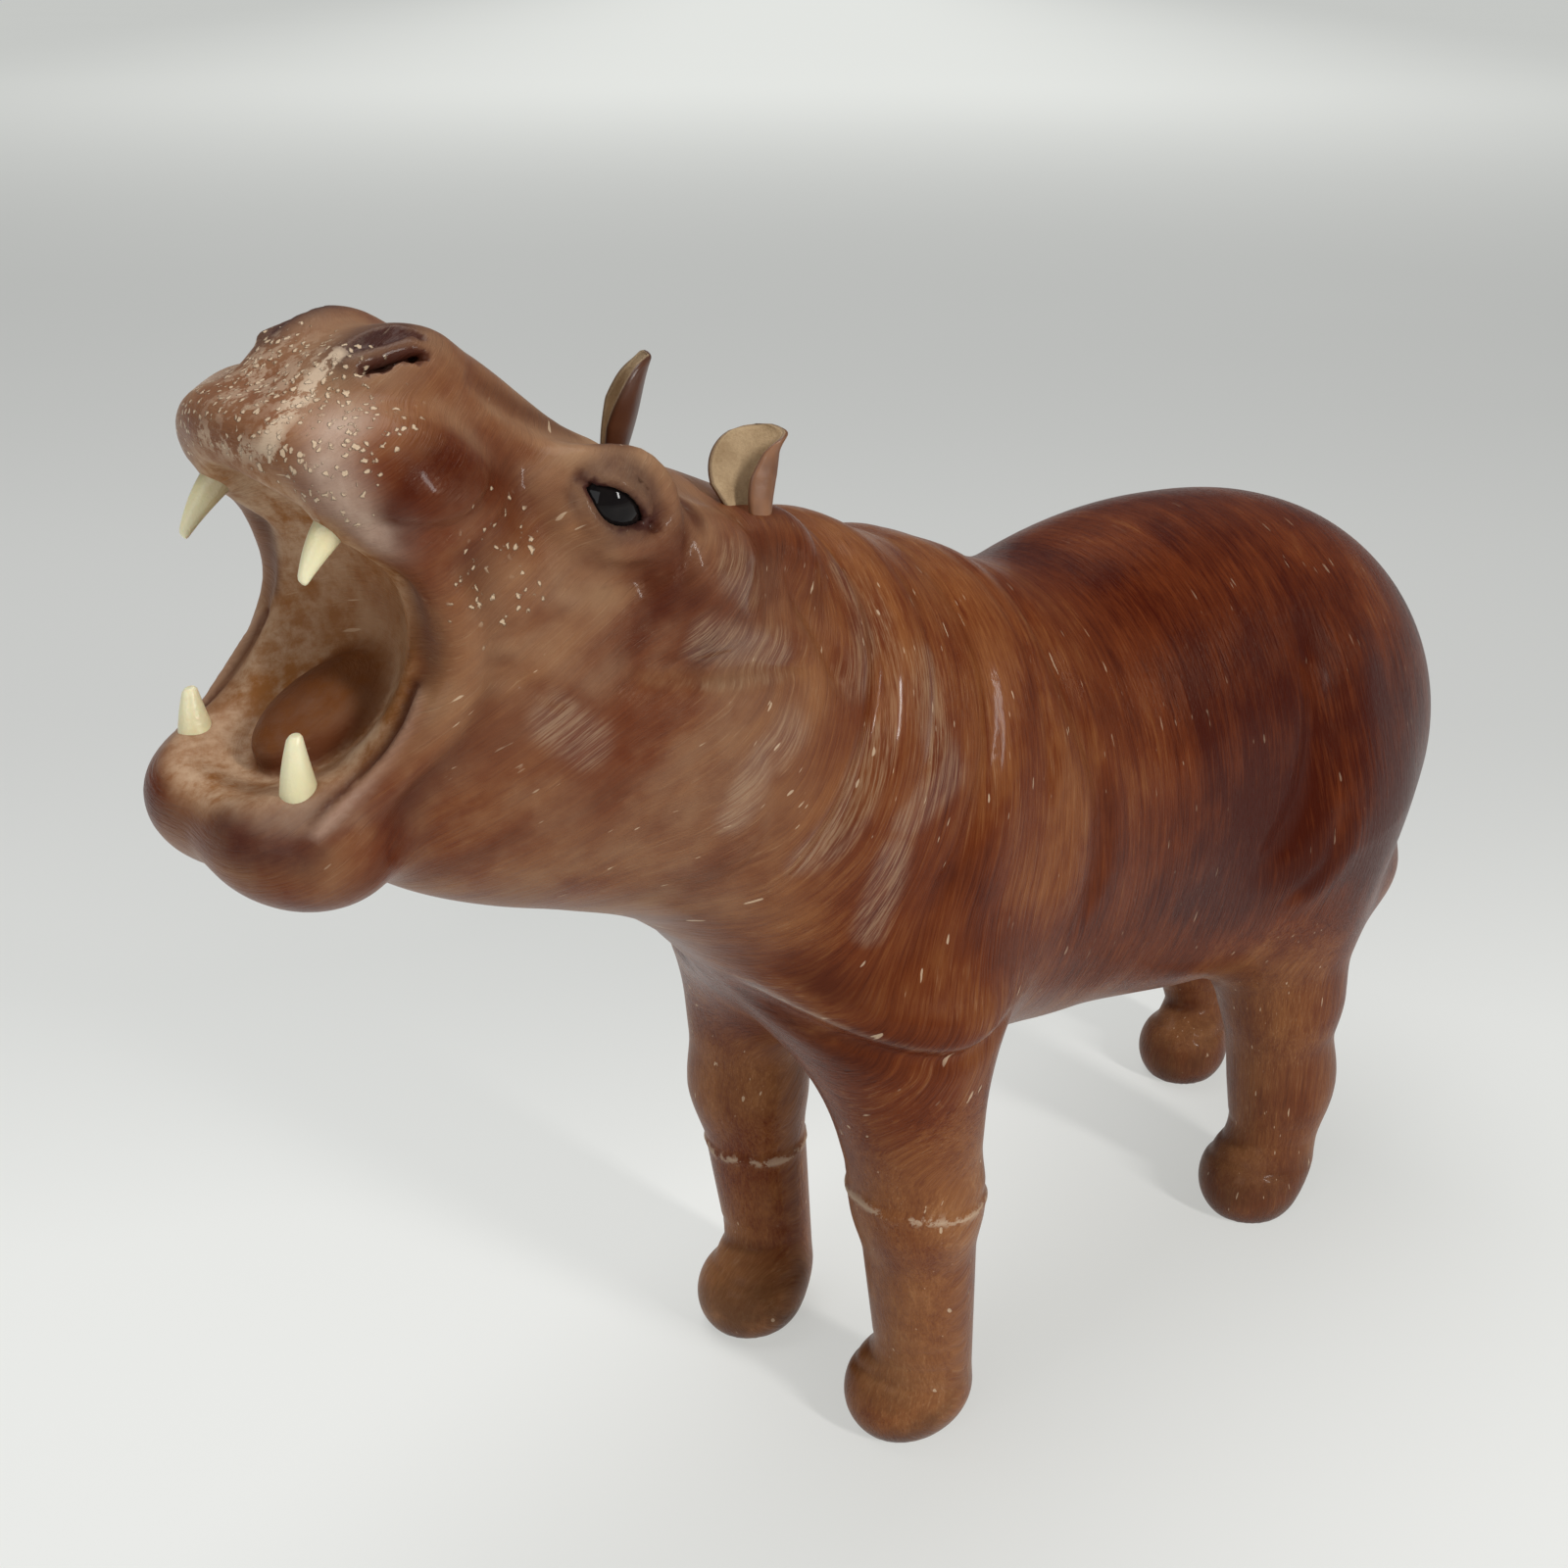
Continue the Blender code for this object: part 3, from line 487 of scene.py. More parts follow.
def ankle_wrinkles(x, y, z):
    """Shallow wrinkles across the front of the ankles."""
    lift = 0
    for _, _, _, _, ankle, radius, _, _ in LEGS:
        front = np.clip((ankle[0] + 2 - x) / radius, 0, 1)
        front = front * (np.hypot(x - ankle[0], y - ankle[1]) < radius * 2)
        for n, height in enumerate(ANKLE_HEIGHTS):
            off = z - height - 2.0 * np.cos((y - ankle[1]) * 0.13 + n)
            lift = lift - front * (0.55 - 0.12 * n) * np.exp(-(off / 1.1) ** 2)
    return lift


def relief(p):
    """How far the skin stands out: large folds, small ones, the legs' seams and wrinkles."""
    x, y, z = p
    lift = sum(fold_height(p, *fold) for fold in FOLDS)
    lift = lift * np.clip((z - FOLD_FLOOR) / 40, 0, 1)
    lift = lift + sum(fold_height(p, *fold) for fold in WRINKLES)
    lift = lift + 0.8 * near_line((x, np.abs(y), z), RIM_LINE, 1.5)
    lift = lift - 0.7 * near_line(beside_rim(x, y, z), RIM_LINE, 1.2)
    off = above_seam(x, y, z)
    lift = lift + 0.5 * np.exp(-off**2) - 0.3 * np.exp(-((off - 2.4) / 1.3) ** 2)
    return lift + ankle_wrinkles(x, y, z)


def figure_shift():
    """From the figure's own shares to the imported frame, from where the left eye is."""
    middle = eye_frame()[0] * (1, -1, 1)
    low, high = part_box("eye_left")
    return np.array((low + high) / 2) - middle * SHARE


SHIFT = figure_shift()


def skin_mesh():
    """The skin as one mesh, with its relief, finer where it curves."""
    points, quads = surface_cells(skin_form, LOW_CORNER, HIGH_CORNER, SKIN_STEP)
    points, outward = settle(points, skin_form)
    points = points + outward * relief(points.T)[:, None]
    mesh = bpy.data.meshes.new("leather_skin")
    mesh.from_pydata((points * SHARE + SHIFT).tolist(), [], quads.tolist())
    thinned = bpy.data.objects.new("thinned", mesh)
    bpy.context.scene.collection.objects.link(thinned)
    thin = thinned.modifiers.new("Thin", "DECIMATE")
    thin.ratio = SKIN_TRIANGLES / (2 * len(quads))
    evaluated = thinned.evaluated_get(bpy.context.evaluated_depsgraph_get())
    fine = bpy.data.meshes.new_from_object(evaluated)
    bpy.data.objects.remove(thinned)
    above_ground(fine)
    fine.shade_smooth()
    return fine


def above_ground(mesh):
    """Press the feet's undersides flat onto the ground."""
    spots = spots_of(mesh)
    spots[:, 2] = np.maximum(spots[:, 2], 0.0)
    mesh.vertices.foreach_set("co", spots.astype(np.float32).ravel())
    mesh.update()


def spots_of(mesh):
    """A mesh's points as an array."""
    spots = np.empty(len(mesh.vertices) * 3, np.float32)
    mesh.vertices.foreach_get("co", spots)
    return spots.reshape(-1, 3).astype(float)


def keep(mesh, name, values, kind="FLOAT"):
    """Store values for the points of a mesh under a name, for its material to read."""
    layer = mesh.attributes.new(name, kind, "POINT")
    layer.data.foreach_set("value" if kind == "FLOAT" else "vector",
                           np.asarray(values, np.float32).ravel())


def soft_step(value, start, end):
    share = np.clip((value - start) / (end - start), 0, 1)
    return share * share * (3 - 2 * share)


def near_line(p, points, width):
    """1 on a line through the points, falling to 0 over the width."""
    line = [np.array(point, float) for point in points]
    off = np.minimum.reduce([tube(p, a, b, 0) for a, b in zip(line, line[1:])])
    return np.exp(-(off / width) ** 2)


def mark_skin(mesh):
    """Store where the skin is hollow, worn, spotted or stained, its painted shade and highlights, and
    the way of its grain.
    """
    spots = (spots_of(mesh) - SHIFT) / SHARE
    normals = np.empty(len(mesh.vertices) * 3, np.float32)
    mesh.vertex_normals.foreach_get("vector", normals)
    normals = normals.reshape(-1, 3)
    x, y, z = spots.T
    side = np.abs(y)
    here, at = (x, y, z), (x, side, z)
    probe = 3.0
    beyond = (spots + normals * probe).T
    gap = skin_form(beyond) - relief(beyond)
    crest = np.maximum.reduce([near_line(at, line, 6) for line in CRESTS])
    # how hollow each point is, less on the fold crests: the material paints shade into the hollows
    # and highlights onto the crests
    keep(mesh, "hollow", np.clip(1 - gap / probe, -1, 1) - 0.8 * crest)
    mouth = soft_step(-egg(at, *MOUTH_REACH), -4, 3)
    inward = soft_step(normals[:, 0] * -0.2 - np.sign(y) * normals[:, 1] * 0.6
                       - normals[:, 2] * np.sign(z - 258) * 0.9, -0.15, 0.35)
    keep(mesh, "mouth", mouth * inward)
    muzzle = np.maximum.reduce([
        strength * soft_step(-length(*((part - m) / h for part, m, h in zip(at, middle, half_sizes))),
                             outside, within)
        for middle, half_sizes, outside, within, strength in SPOTTED])
    keep(mesh, "muzzle", muzzle * (1 - mouth * inward))
    keep(mesh, "flaked", np.maximum.reduce((
        np.minimum(near_line(here, WORN_BAND, 2.2) * 1.8, 1),
        near_line(here, WORN_LIP, 2.4) * 0.8, near_line(at, FLAKED_FRONT, 10) * 0.5,
        0.8 * np.exp(-(above_seam(x, y, z) / 1.3) ** 2))))
    tongue = soft_step(-egg(at, *TONGUE[:3]), -2.2, -0.6) * mouth
    eye_rim = soft_step(-off_from(at, eye_frame()[0]), -12, -8.5)
    gums = np.exp(-(off_from(at, LOWER_TUSK_PLACE) / 9) ** 2) * soft_step(z, 229.5, 233)
    tint, tinted = np.zeros_like(spots), np.zeros(len(spots))
    for color, share in (
            (PAD_PALE, 0.75 * near_line(at, PAD_HAZE, 5)),
            (WAX_HAZE_AND_SHEEN, 0.4 * near_line(at, PALE_FOLDS, 3.5)),
            (DEEP_MAROON, 0.85 * np.exp(-(off_from(at, PAD_MIDDLE) / 7) ** 2)),
            (DEEP_MAROON, 0.55 * soft_step(-z, -13, -5)),
            # painted shade in the crease under the whisker pad
            (DEEP_MAROON, 0.8 * near_line(at, PAD_CREASE, 3)),
            (DEEP_MAROON, 0.6 * near_line(at, EYE_BAG, 4)),
            (LIP_PURPLE, 0.75 * eye_rim),
            (LIP_PURPLE, 0.85 * near_line(at, NOSTRIL_SLITS[0], 6.5)),
            (LIP_PURPLE, 0.6 * near_line(here, LIP_STAIN, 5)),
            (TONGUE_RED, 0.85 * tongue),
            (MOUTH_AMBER, 0.9 * mouth * near_line(here, AMBER_CHEEK, 13)),
            (RED_BROWN, 0.5 * soft_step(-off_from(here, MUZZLE_FRONT), -20, -8)),
            (GUM_PLASTER, 0.65 * gums),
            # painted highlight along the rim's ridge
            (RIM_PAINTED_HIGHLIGHT, 0.8 * near_line(at, RIM_LINE, 1.1)),
            # painted shade in the groove beside the rim
            (DEEP_MAROON, 0.8 * near_line(beside_rim(*here), RIM_LINE, 1.2))):
        total = tinted + share - tinted * share
        tint += (np.array(color[:3]) - tint) * (share / np.maximum(total, 1e-6))[:, None]
        tinted = total
    keep(mesh, "tint", tint, "FLOAT_VECTOR")
    keep(mesh, "tinted", tinted)
    slant = radians(22) * soft_step(-x, 0, 95) + radians(38) * soft_step(-x, 80, 150)
    leg = soft_step(-z, -125, -95)
    x, z = x - GRAIN_PIVOT[0], z - GRAIN_PIVOT[1]
    across = x * np.cos(slant) - z * np.sin(slant)
    along = x * np.sin(slant) + z * np.cos(slant)
    out = y * 0.08 + np.sign(y) * (side - LEG_AXIS) * leg
    keep(mesh, "grain_way", np.stack([across, out, along], axis=1), "FLOAT_VECTOR")


skin = bpy.data.objects.new("leather_body", skin_mesh())
bpy.context.scene.collection.objects.link(skin)
mark_skin(skin.data)


class Shade:
    """One output of a shader node. Arithmetic on it adds Math nodes."""

    def __init__(self, tree, socket=None):
        self.tree = tree
        self.socket = socket

    def node(self, kind, settings, values, output=0):
        """Add a node: its type, its settings, then values or links for its sockets."""
        made = self.tree.nodes.new("ShaderNode" + kind)
        for name, setting in settings.items():
            if name == "stops":
                stops = made.color_ramp.elements
                while len(stops) < len(setting):
                    stops.new(1.0)
                for stop, (position, color) in zip(stops, setting):
                    stop.position, stop.color = position, color
            else:
                setattr(made, name, setting)
        feed(made, values)
        return Shade(self.tree, made.outputs[output])

    def math(self, operation, *values):
        return self.node("Math", {"operation": operation}, dict(enumerate(values)))

    def __add__(self, other):
        return self.math("ADD", self, other)

    def __sub__(self, other):
        return self.math("SUBTRACT", self, other)

    def __rsub__(self, other):
        return self.math("SUBTRACT", other, self)

    def __mul__(self, other):
        return self.math("MULTIPLY", self, other)

    __radd__ = __add__
    __rmul__ = __mul__

    def step(self, low, high):
        """0 below low, 1 above high, smooth between."""
        return self.node("MapRange", {"interpolation_type": "SMOOTHSTEP"},
                         {"Value": self, "From Min": low, "From Max": high})

    def stretched(self, factors):
        """A vector times a vector."""
        return self.node("VectorMath", {"operation": "MULTIPLY"}, {0: self, 1: factors})

    def noise(self, scale, detail=2.0, roughness=0.5):
        """Soft noise at this vector, from 0 to 1."""
        return self.node("TexNoise", {}, {"Vector": self, "Scale": scale, "Detail": detail,
                                          "Roughness": roughness})

    def between(self, color, other):
        """The first colour at 0, the other at 1."""
        return self.node("Mix", {"data_type": "RGBA"}, {0: self, 6: color, 7: other}, output=2)

    def mixed(self, color, share):
        """This colour with a share of another one."""
        return share.between(self, color)

    def part(self, n):
        """The X, Y or Z part of this vector."""
        return self.node("SeparateXYZ", {}, {0: self}, output=n)

    def kept(self, name, output="Fac"):
        """Values stored on the mesh under a name."""
        return self.node("Attribute", {"attribute_name": name}, {}, output=output)

    def bump(self, distance, strength=1.0):
        """The surface's tilt from this height."""
        return self.node("Bump", {}, {"Height": self, "Distance": distance,
                                      "Strength": strength}, output="Normal")


def feed(node, values):
    """Set or link the sockets of a node."""
    for name, value in values.items():
        if isinstance(value, Shade):
            node.id_data.links.new(value.socket, node.inputs[name])
        else:
            node.inputs[name].default_value = value


def new_finish(name):
    """A material, its Principled shader, and the place on the object to build on."""
    finish = bpy.data.materials.new(name)
    finish.use_nodes = True
    tree = finish.node_tree
    place = Shade(tree).node("TexCoord", {}, {}, output="Object")
    return finish, tree.nodes["Principled BSDF"], place


def leather_finish():
    """Stained, waxed and varnished leather, brushed along the folds, with painted shade and
    highlights.
    """
    finish, shader, place = new_finish("glazed_leather")
    x, z = place.part(0), place.part(2)
    up = place.node("NewGeometry", {}, {}, output="Normal").part(2)
    way = place.kept("grain_way", "Vector")
    hollow, mouth, muzzle, flaked, tinted = (
        place.kept(name) for name in ("hollow", "mouth", "muzzle", "flaked", "tinted"))
    hairline = way.stretched((1, 1, 0.03)).noise(2.6, 3, 0.7)
    strand = way.stretched((1, 1, 0.05)).noise(0.9, 3, 0.65)
    band = way.stretched((1, 1, 0.25)).noise(0.10, 3, 0.6)
    cloud = place.noise(18, 4, 0.6)
    blotch = place.noise(60, 4, 0.6)
    crumb = place.noise(260, 5, 0.7)
    legs = 1 - z.step(0.075, 0.125)
    feet = 1 - z.step(0.008, 0.030)
    head = 1 - x.step(-0.120, -0.060)
    flank = x.step(-0.03, 0.06) * z.step(0.095, 0.140)

    tone = cloud * 0.62 + band * 0.48 + (strand + hairline - 1) * (0.38 - head * 0.2)
    neck = x.step(-0.15, -0.10) - x.step(-0.05, 0.01)
    # painted light: upward faces are a little lighter in tone
    tone = tone + blotch * 0.22 + up.step(0.2, 0.95) * 0.10 - neck * (1 - legs) * 0.09 - 0.67
    tone = tone + legs * (0.08 - x.step(0.04, 0.10) * 0.14) - flank * 0.29
    color = place.node("ValToRGB", {"stops": ((0.0, DEEP_MAROON), (0.34, RED_BROWN),
                                              (0.66, CHESTNUT), (1.0, AMBER_TAN))},
                       {0: tone * 1.5 + 0.5})
    scratches = hairline.step(0.56, 0.72) * band.step(0.40, 0.60)
    # a pale wax haze on scratches, head and legs, with painted sheen: upward faces lightened as if
    # lit from above
    wax_haze_and_sheen = up.step(-0.25, 0.9) * (0.06 + head * 0.22) + scratches * 0.38 + head * 0.26 + legs * 0.12
    wax_haze_and_sheen = wax_haze_and_sheen * cloud.step(0.28, 0.6) * (1 - flank * 0.9) + head * blotch.step(0.4, 0.7) * 0.18
    color = color.mixed(WAX_HAZE_AND_SHEEN, wax_haze_and_sheen)
    color = color.mixed(FOOT_BROWN, feet * blotch.step(0.35, 0.65) * 0.7)
    # painted shade: the hollows and creases are darkened towards deep maroon
    color = color.mixed(DEEP_MAROON, hollow.step(0.06, 0.5) * 0.75)
    crest = (0 - hollow).step(0.10, 0.6)
    # painted highlight: the fold crests are lightened towards the pale wax colour, broken up by the
    # grain
    color = color.mixed(WAX_HAZE_AND_SHEEN, crest * (hairline + strand * 0.5).step(0.66, 0.92) * 0.5)
    nicks = way.stretched((1, 1, 0.2)).noise(0.9, 1, 0.4).step(0.745, 0.775)
    nicks = nicks * cloud.step(0.40, 0.50)
    color = color.mixed(CREAM_NICK, nicks * (0.6 - flank * 0.35))
    wander = place.node("TexNoise", {}, {"Vector": place, "Scale": 700.0}, output="Color")
    spotted = place.node("Mix", {"data_type": "VECTOR"}, {0: 0.0020, 4: place, 5: wander}, output=1)
    pores, pick = (place.node("TexVoronoi", {}, {"Vector": spotted, "Scale": 600.0,
                                                 "Randomness": 1.0}, output=name)
                   for name in ("Distance", "Color"))
    flecks = (1 - pores.step(0.24, 0.40)) * (pick.part(0) + muzzle * 0.78).step(0.92, 1.08)
    flecks = flecks * muzzle.step(0.05, 0.2)
    mouth_dust_and_light = (crumb * 0.5 + blotch * 0.5).step(0.38, 0.64)
    color = color.mixed(MOUTH_AMBER, mouth * 0.85)
    color = color.mixed(place.kept("tint", "Vector"), tinted * (crumb + 0.45))
    # dust on the mouth's walls, partly painted light: paler than dust alone, to light the inside of
    # the mouth
    color = color.mixed(MOUTH_DUST_AND_LIGHT, mouth * mouth_dust_and_light * (0.85 - tinted * 0.85))
    color = color.mixed(CREAM_NICK, flecks * 0.8)
    flakes = flaked * (crumb + flaked * 0.16).step(0.54, 0.62)
    color = color.mixed(FLAKE_TAN, flakes * 0.8)

    rough = 0.21 + hairline * 0.14 + wax_haze_and_sheen * 0.30 + mouth * 0.14 + flakes * 0.3 - tinted * 0.06
    height = hairline * 0.8 + strand * 0.9 + crumb * (0.2 + tinted) + flecks * 1.8
    feed(shader, {
        "Base Color": color, "Roughness": rough, "Normal": height.bump(0.00035, 0.8),
        "Coat Weight": (1 - mouth * 0.6) * (1 - flakes * 0.8) * (crest * 0.5 + 0.06),
        "Coat Roughness": 0.10,
        "IOR": 1.5, "Specular IOR Level": 0.12, "Specular Tint": (1.0, 0.78, 0.60, 1)})
    return finish


glazed_leather = leather_finish()
skin.data.materials.append(glazed_leather)
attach(skin, "root")
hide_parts("body")

# The eyes: solid balls of black glass, polished, pressed into the wet leather so that the
# lids grip them.


def glass_finish():
    finish, shader, place = new_finish("black_glass")
    depth = place.noise(400, 2)
    color = depth.between((0.003, 0.003, 0.004, 1), (0.012, 0.009, 0.008, 1))
    feed(shader, {"Base Color": color, "Roughness": 0.03 + depth * 0.02,
                  "IOR": 1.52, "Specular IOR Level": 0.13})
    return finish


black_glass = glass_finish()


def add_piece(name, shape, node, finish):
    """Make an object of a shape that stands for a node."""
    bmesh.ops.recalc_face_normals(shape, faces=shape.faces)
    mesh = bpy.data.meshes.new(name)
    shape.to_mesh(mesh)
    shape.free()
    mesh.shade_smooth()
    mesh.materials.append(finish)
    piece = bpy.data.objects.new(name, mesh)
    bpy.context.scene.collection.objects.link(piece)
    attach(piece, "root")
    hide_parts(node)
    return piece


middle, outward = eye_frame()[:2]
for hand, side in (("left", -1), ("right", 1)):
    flip = np.array((1, side, 1))
    spot = Vector(middle * flip * SHARE + SHIFT)
    facing = Vector(outward * flip)
    ball = bmesh.new()
    bmesh.ops.create_uvsphere(ball, u_segments=64, v_segments=40, radius=EYE_RADIUS * SHARE)
    turn = facing.to_track_quat("Z", "Y").to_matrix().to_4x4()
    bmesh.ops.transform(ball, matrix=Matrix.Translation(spot) @ turn, verts=ball.verts)
    add_piece("glass_eye_" + hand, ball, "eye_" + hand, black_glass)

# The ears: leaves cut from the same hide with the suede side forward, curled wet, pinched at
# the root and glued into a slot. The cut edge is dark, and the back is smooth and brown.
EAR_HEIGHTS = (19.0, 27.5)   # above the head, left and right
EAR_WIDTH = 21.5
EAR_THICKNESS = 1.6
EAR_ROOT = 6.0
EARS = (    # left and right: where the ear leaves the head, its way up, where its hollow looks
    ((-98.5, 26, 269.5), (0.08, -0.32, 0.95), (-0.62, 0.72, 0.25)),
    ((-96.5, 26, 270), (0.06, -0.34, 0.95), (-0.68, 0.66, 0.25)),
)
EAR_CURLS = (0.6, 0.8)                 # how far the leather turns from middle to edge, radians
ROOT_CURL = 0.4                        # how much further at the root
EAR_FOLDS = (2.2, 0.8)                 # how far the outer edge folds forward, left and right
FOLD_START = -0.37                     # across the leaf at the root: 0 its middle, 1 its edge
FOLD_SLANT = 0.9                       # how much further out the fold starts at the tip
FOLD_FLARE = (0.72, 12)                # the height where it bends outward, and how strongly
FOLD_REACH = 0.5                       # its width, where the leaf is widest


def mirrored(vector, side):
    """A place or direction given for the right side, on the wanted side."""
    return Vector((vector[0], vector[1] * side, vector[2]))


def leaf_turn(share, rise, curl, fold):
    """How far the leaf has turned at a place across it: an even curl, and the fold.

    The fold's line slants from the middle of the root to the outer corner of the tip.
    """
    curl += ROOT_CURL * (1 - rise) ** 2
    begin = FOLD_START + FOLD_SLANT * rise + FOLD_FLARE[1] * max(rise - FOLD_FLARE[0], 0) ** 2
    reach = FOLD_REACH / leaf_width(rise)
    return curl * share + fold * min(max((share - begin) / reach, 0), 1)


def rolled(share, rise, curl, fold, pieces=32):
    """A point across the rolled leaf, and how far the leaf has turned there."""
    off, ahead = 0.0, 0.0
    for n in range(pieces):
        turn = leaf_turn(share * (n + 0.5) / pieces, rise, curl, fold)
        off += cos(turn) * share / pieces
        ahead += sin(turn) * share / pieces
    return off, ahead, leaf_turn(share, rise, curl, fold)


def leaf_width(rise):
    """Half width of the ear's outline, as a share of its greatest, from root to tip."""
    return (1 - 0.58 * max(0.55 - rise, 0) / 0.55) * (
        1 if rise < 0.6 else max(0.0, 1 - ((rise - 0.6) / 0.4) ** 2) ** 0.5 * 0.86 + 0.14)


def stitch_leaf(shape, front, back):
    """Close two grids of points into one thick leaf."""
    rows, columns = len(front), len(front[0])
    for i in range(rows - 1):
        for j in range(columns - 1):
            for grid in (front, back):
                shape.faces.new((grid[i][j], grid[i][j + 1], grid[i + 1][j + 1], grid[i + 1][j]))
    rim = [(i, 0) for i in range(rows)]
    rim += [(rows - 1, j) for j in range(1, columns)]
    rim += [(i, columns - 1) for i in range(rows - 2, -1, -1)]
    rim += [(0, j) for j in range(columns - 2, 0, -1)]
    for (i, j), (k, m) in zip(rim, rim[1:] + rim[:1]):
        shape.faces.new((front[i][j], front[k][m], back[k][m], back[i][j]))
    bmesh.ops.triangulate(shape, faces=shape.faces)


def ear_leaf(side, ear, height, curl, fold, rows=44, columns=48):
    """A curled ear, its cut edge rounded a little, in shares."""
    start, up, facing = (mirrored(vector, side) for vector in ear)
    up = up.normalized()
    facing = (facing - up * facing.dot(up)).normalized()
    outer = up.cross(facing) * -side
    shape = bmesh.new()
    face = shape.verts.layers.float.new("suede_side")
    edge = shape.verts.layers.float.new("cut_edge")
    layers = []
    for front in (1, -1):
        grid = []
        for i in range(rows):
            run = -EAR_ROOT + (height + EAR_ROOT) * i / (rows - 1)
            rise = i / (rows - 1)
            half_width = EAR_WIDTH / 2 * leaf_width(rise)
            grid.append([])
            for j in range(columns):
                share = sin(pi * (j / (columns - 1) - 0.5))
                off, ahead, turn = rolled(share, rise, curl, fold)
                normal = facing * cos(turn) - outer * sin(turn)
                inset = min((1 - abs(share)) * half_width, height - run)
                thin = 1 - 0.55 * max(0.0, 1 - inset / (EAR_THICKNESS * 0.6)) ** 2
                wave = 0.25 * sin(rise * 9 + share * 3) * rise
                spot = start + up * run + (outer * off + facing * ahead) * half_width
                spot += normal * (EAR_THICKNESS / 2 * thin * front + wave)
                made = shape.verts.new(spot * SHARE + Vector(SHIFT))
                made[face] = front
                made[edge] = max(0.0, 1 - inset / 1.1)
                grid[-1].append(made)
        layers.append(grid)
    stitch_leaf(shape, *layers)
    return shape


def ear_finish():
    """Suede in front, smooth brown leather behind, a dark cut edge, and painted shade on the far
    ear's back.
    """
    finish, shader, place = new_finish("ear_leather")
    front = place.kept("suede_side").step(-0.4, 0.4)
    edge = place.kept("cut_edge").step(0.45, 0.9)
    cloud, fuzz = place.noise(120, 3), place.noise(1500, 3, 0.7)
    suede = place.node("ValToRGB", {"stops": ((0.25, (0.27, 0.17, 0.08, 1)),
                                              (0.75, (0.60, 0.44, 0.26, 1)))},
                       {0: cloud * 0.7 + fuzz * 0.3})
    smooth = place.node("ValToRGB", {"stops": ((0.3, (0.13, 0.050, 0.022, 1)),
                                               (0.7, (0.29, 0.13, 0.058, 1)))}, {0: cloud})
    # painted shade: the far ear's smooth back is darker
    far_ear_shade = place.part(1).step(-0.01, 0.01)
    smooth = smooth.mixed((0.075, 0.022, 0.010, 1), far_ear_shade * 0.8)
    color = smooth.mixed(suede, front)
    color = color.mixed((0.06, 0.025, 0.012, 1), edge * 0.5)
    rough = 0.36 + front * 0.42
    height = fuzz * (front * 0.8 + 0.2) + cloud * 0.5
    feed(shader, {"Base Color": color, "Roughness": rough, "Normal": height.bump(0.0002)})
    return finish


ear_leather = ear_finish()
for n, (hand, side) in enumerate((("left", -1), ("right", 1))):
    leaf = ear_leaf(side, EARS[n], EAR_HEIGHTS[n], EAR_CURLS[n], EAR_FOLDS[n])
    add_piece("cut_ear_" + hand, leaf, "ear_" + hand, ear_leather)

# The tusks: small ivory-coloured horns, slightly curved, their tips cut blunt, each with its
# peg glued into a hole in the gum.
UPPER_TUSK_LENGTHS = (14.5, 16.0)   # what shows, left and right
LOWER_TUSK_LENGTHS = (20.0, 17.0)
UPPER_TUSK_DIAMETER = 6.8
LOWER_TUSK_DIAMETER = 9.2
TUSK_ROOT = 8.0
TUSK_TIP = 0.3                 # width of the blunt tip, as a share of the width at the gum
UPPER_TUSK_BEND = (0.14, 0.0, -0.16)   # sideways drift of its tip
LOWER_TUSK_BEND = (0.14, 0.0, 0.0)


def tusk_horn(side, place, way, bend, diameter, shown, rings=40, sides=32):
    """A curved, tapering horn with its peg and a slightly rounded tip, in shares."""
    start = mirrored(place, side)
    ahead = mirrored(way, side).normalized()
    drift = mirrored(bend, side)
    across = ahead.orthogonal().normalized()
    second = ahead.cross(across)
    shape = bmesh.new()
    height = shape.verts.layers.float.new("up_tusk")
    loops = []
    for i in range(rings):
        run = -TUSK_ROOT + (shown + TUSK_ROOT) * i / (rings - 1)
        share = max(run, 0) / shown
        middle = start + ahead * run + drift * (shown * share**2)
        radius = diameter / 2 * (1 - (1 - TUSK_TIP) * share**1.5)
        radius *= 1 - 0.25 * max(0.0, 1 - (shown - run) / 0.6) ** 2
        loops.append([])
        for n in range(sides):
            a = 2 * pi * n / sides
            spot = middle + radius * (1 + 0.02 * sin(2 * a + share * 3)) * (
                across * cos(a) + second * sin(a))
            made = shape.verts.new(spot * SHARE + Vector(SHIFT))
            made[height] = run / shown
            loops[-1].append(made)
    for lower, upper in zip(loops, loops[1:]):
        for n in range(sides):
            m = (n + 1) % sides
            shape.faces.new((lower[n], lower[m], upper[m], upper[n]))
    bmesh.ops.bevel(shape, geom=shape.faces.new(loops[-1]).edges[:], offset=0.0002,
                    segments=2, profile=0.5, affect="EDGES")
    shape.faces.new(loops[0])
    return shape


def tusk_finish():
    """Cream at the tip, browner and stained at the gum, with fine lengthwise lines."""
    finish, shader, place = new_finish("tusk")
    height = place.kept("up_tusk")
    cloud, fine = place.noise(260, 3), place.noise(1400, 2)
    color = place.node("ValToRGB", {"stops": ((0.0, (0.20, 0.13, 0.075, 1)),
                                              (0.16, (0.50, 0.41, 0.25, 1)),
                                              (0.5, (0.74, 0.67, 0.40, 1)),
                                              (1.0, (0.83, 0.78, 0.52, 1)))},
                       {0: height + cloud * 0.24 - 0.12})
    rough = 0.30 + cloud * 0.15
    feed(shader, {"Base Color": color, "Roughness": rough,
                  "Normal": (fine + cloud).bump(0.00012),
                  "Subsurface Weight": 0.12, "Subsurface Scale": 0.002,
                  "Coat Weight": 0.15, "Coat Roughness": 0.2})
    return finish


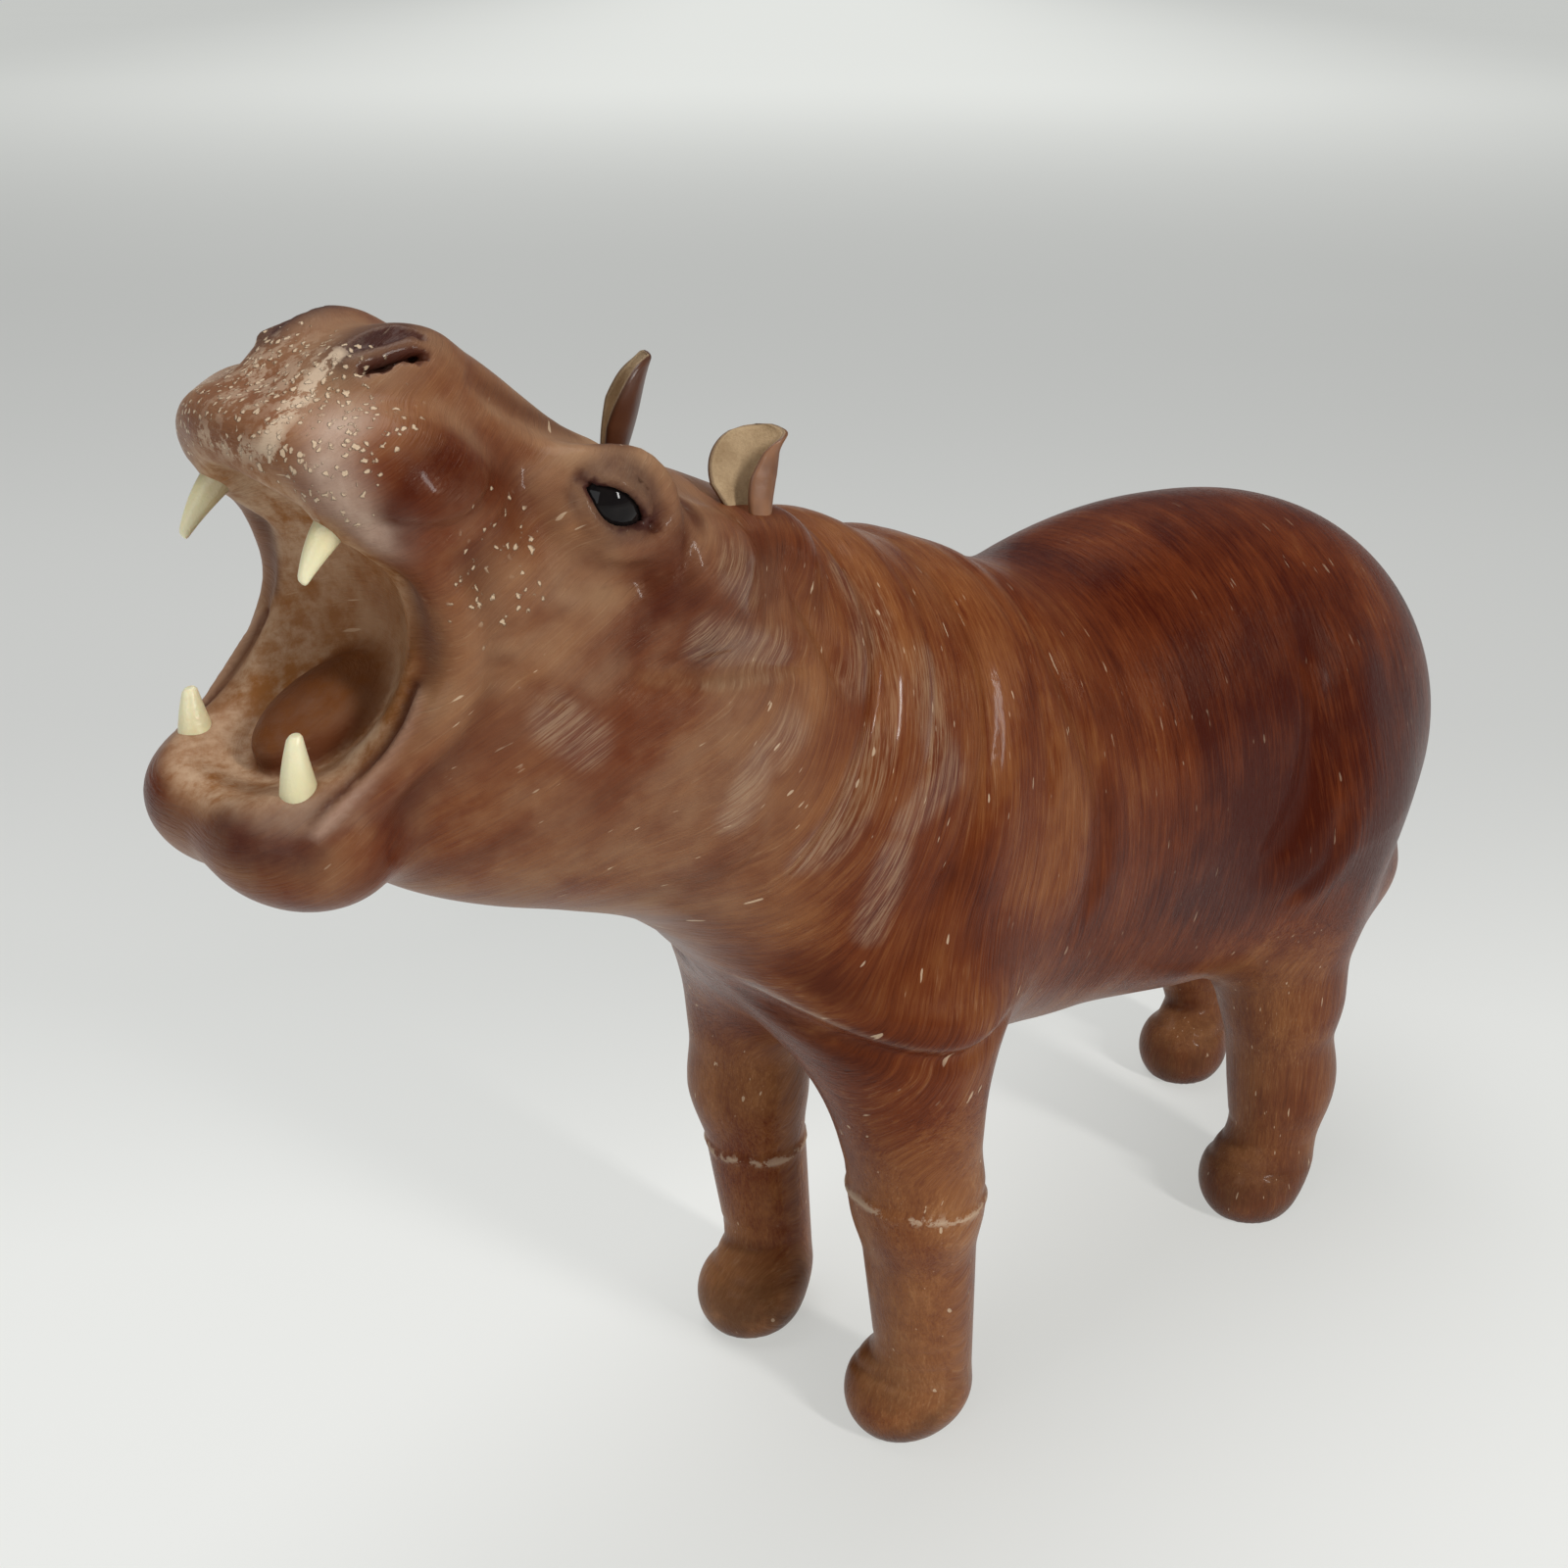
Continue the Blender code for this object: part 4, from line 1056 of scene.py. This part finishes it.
tusk_ivory = tusk_finish()
for n, (hand, side) in enumerate((("left", -1), ("right", 1))):
    horn = tusk_horn(side, UPPER_TUSK_PLACE, UPPER_TUSK_WAY, UPPER_TUSK_BEND,
                     UPPER_TUSK_DIAMETER, UPPER_TUSK_LENGTHS[n])
    add_piece("upper_horn_" + hand, horn, "upper_tusk_" + hand, tusk_ivory)
    horn = tusk_horn(side, LOWER_TUSK_PLACE, LOWER_TUSK_WAY, LOWER_TUSK_BEND,
                     LOWER_TUSK_DIAMETER, LOWER_TUSK_LENGTHS[n])
    add_piece("lower_horn_" + hand, horn, "lower_tusk_" + hand, tusk_ivory)

# The setting: one plain pale floor that fills the view, soft light from the front left and
# above, and the camera where the photographer stood.


def floor_finish():
    finish, shader, place = new_finish("pale_floor")
    color = place.noise(1.5, 2).between((0.34, 0.34, 0.335, 1), (0.38, 0.38, 0.375, 1))
    x, y = place.part(0), place.part(1)
    away = x * 0.67 + y * 0.74
    aside = place.math("ABSOLUTE", x * 0.74 - y * 0.67)
    glow = 0.47 - away.step(0.0, 0.5) * 0.17
    glow = glow + away.step(0.9, 5.0) * (1 - aside.step(0.3, 2.8) * 0.5) * 0.42
    lit = glow.between((0.0, 0.0, 0.0, 1), (0.98, 1.0, 0.96, 1))
    feed(shader, {"Base Color": color, "Roughness": 0.75,
                  "Emission Color": lit, "Emission Strength": 1.0})
    return finish


sheet = bmesh.new()
bmesh.ops.create_grid(sheet, x_segments=8, y_segments=8, size=12)
floor_mesh = bpy.data.meshes.new("floor")
sheet.to_mesh(floor_mesh)
sheet.free()
floor_mesh.materials.append(floor_finish())
floor = bpy.data.objects.new("floor", floor_mesh)
bpy.context.scene.collection.objects.link(floor)


def soft_light(name, spot, aim, size, power, warmth=(1, 1, 1)):
    """A softbox of a width and height that faces its aim."""
    lamp = bpy.data.lights.new(name, "AREA")
    lamp.shape = "RECTANGLE"
    lamp.size, lamp.size_y = size
    lamp.energy, lamp.color = power, warmth
    box = bpy.data.objects.new(name, lamp)
    bpy.context.scene.collection.objects.link(box)
    box.location = spot
    box.rotation_mode = "QUATERNION"
    box.rotation_quaternion = (Vector(aim) - Vector(spot)).to_track_quat("-Z", "Y")


soft_light("window", (0.10, -1.7, 1.15), (0, 0, 0.18), (0.16, 0.8), 22, (1, 0.99, 0.97))
soft_light("ceiling", (-0.1, 0.5, 2.0), (0, 0, 0.1), (1.4, 1.4), 23)
soft_light("side_fill", (-1.6, -0.5, 0.9), (0, 0, 0.15), (1.0, 1.0), 7, (0.95, 0.98, 1))
world = bpy.data.worlds.new("room")
world.use_nodes = True
room = world.node_tree.nodes["Background"]
room.inputs["Color"].default_value = (0.85, 0.87, 0.90, 1)
room.inputs["Strength"].default_value = 0.17
bpy.context.scene.world = world
bpy.context.scene.view_settings.view_transform = "Standard"

VIEW_TURN, VIEW_RISE, VIEW_ROLL = radians(-41.93), radians(23.68), radians(0.22)
VIEW_DISTANCE = 0.5117
VIEW_AIM = Vector((-50.39, 20.72, 178.14)) * SHARE + Vector(SHIFT)
VIEW_LENS = 45.0
back = Vector((sin(VIEW_TURN) * cos(VIEW_RISE), -cos(VIEW_TURN) * cos(VIEW_RISE), sin(VIEW_RISE)))
right = Vector((0, 0, 1)).cross(back).normalized()
above = back.cross(right)
level_right = right * cos(VIEW_ROLL) + above * sin(VIEW_ROLL)
level_above = above * cos(VIEW_ROLL) - right * sin(VIEW_ROLL)
eye_point = VIEW_AIM + back * VIEW_DISTANCE
camera = bpy.data.objects.new("camera", bpy.data.cameras.new("camera"))
bpy.context.scene.collection.objects.link(camera)
turned = Matrix((level_right, level_above, back)).transposed().to_4x4()
camera.matrix_world = Matrix.Translation(eye_point) @ turned
camera.data.sensor_width = 36.0
camera.data.lens = VIEW_LENS
camera.data.clip_start = 0.02
bpy.context.scene.camera = camera
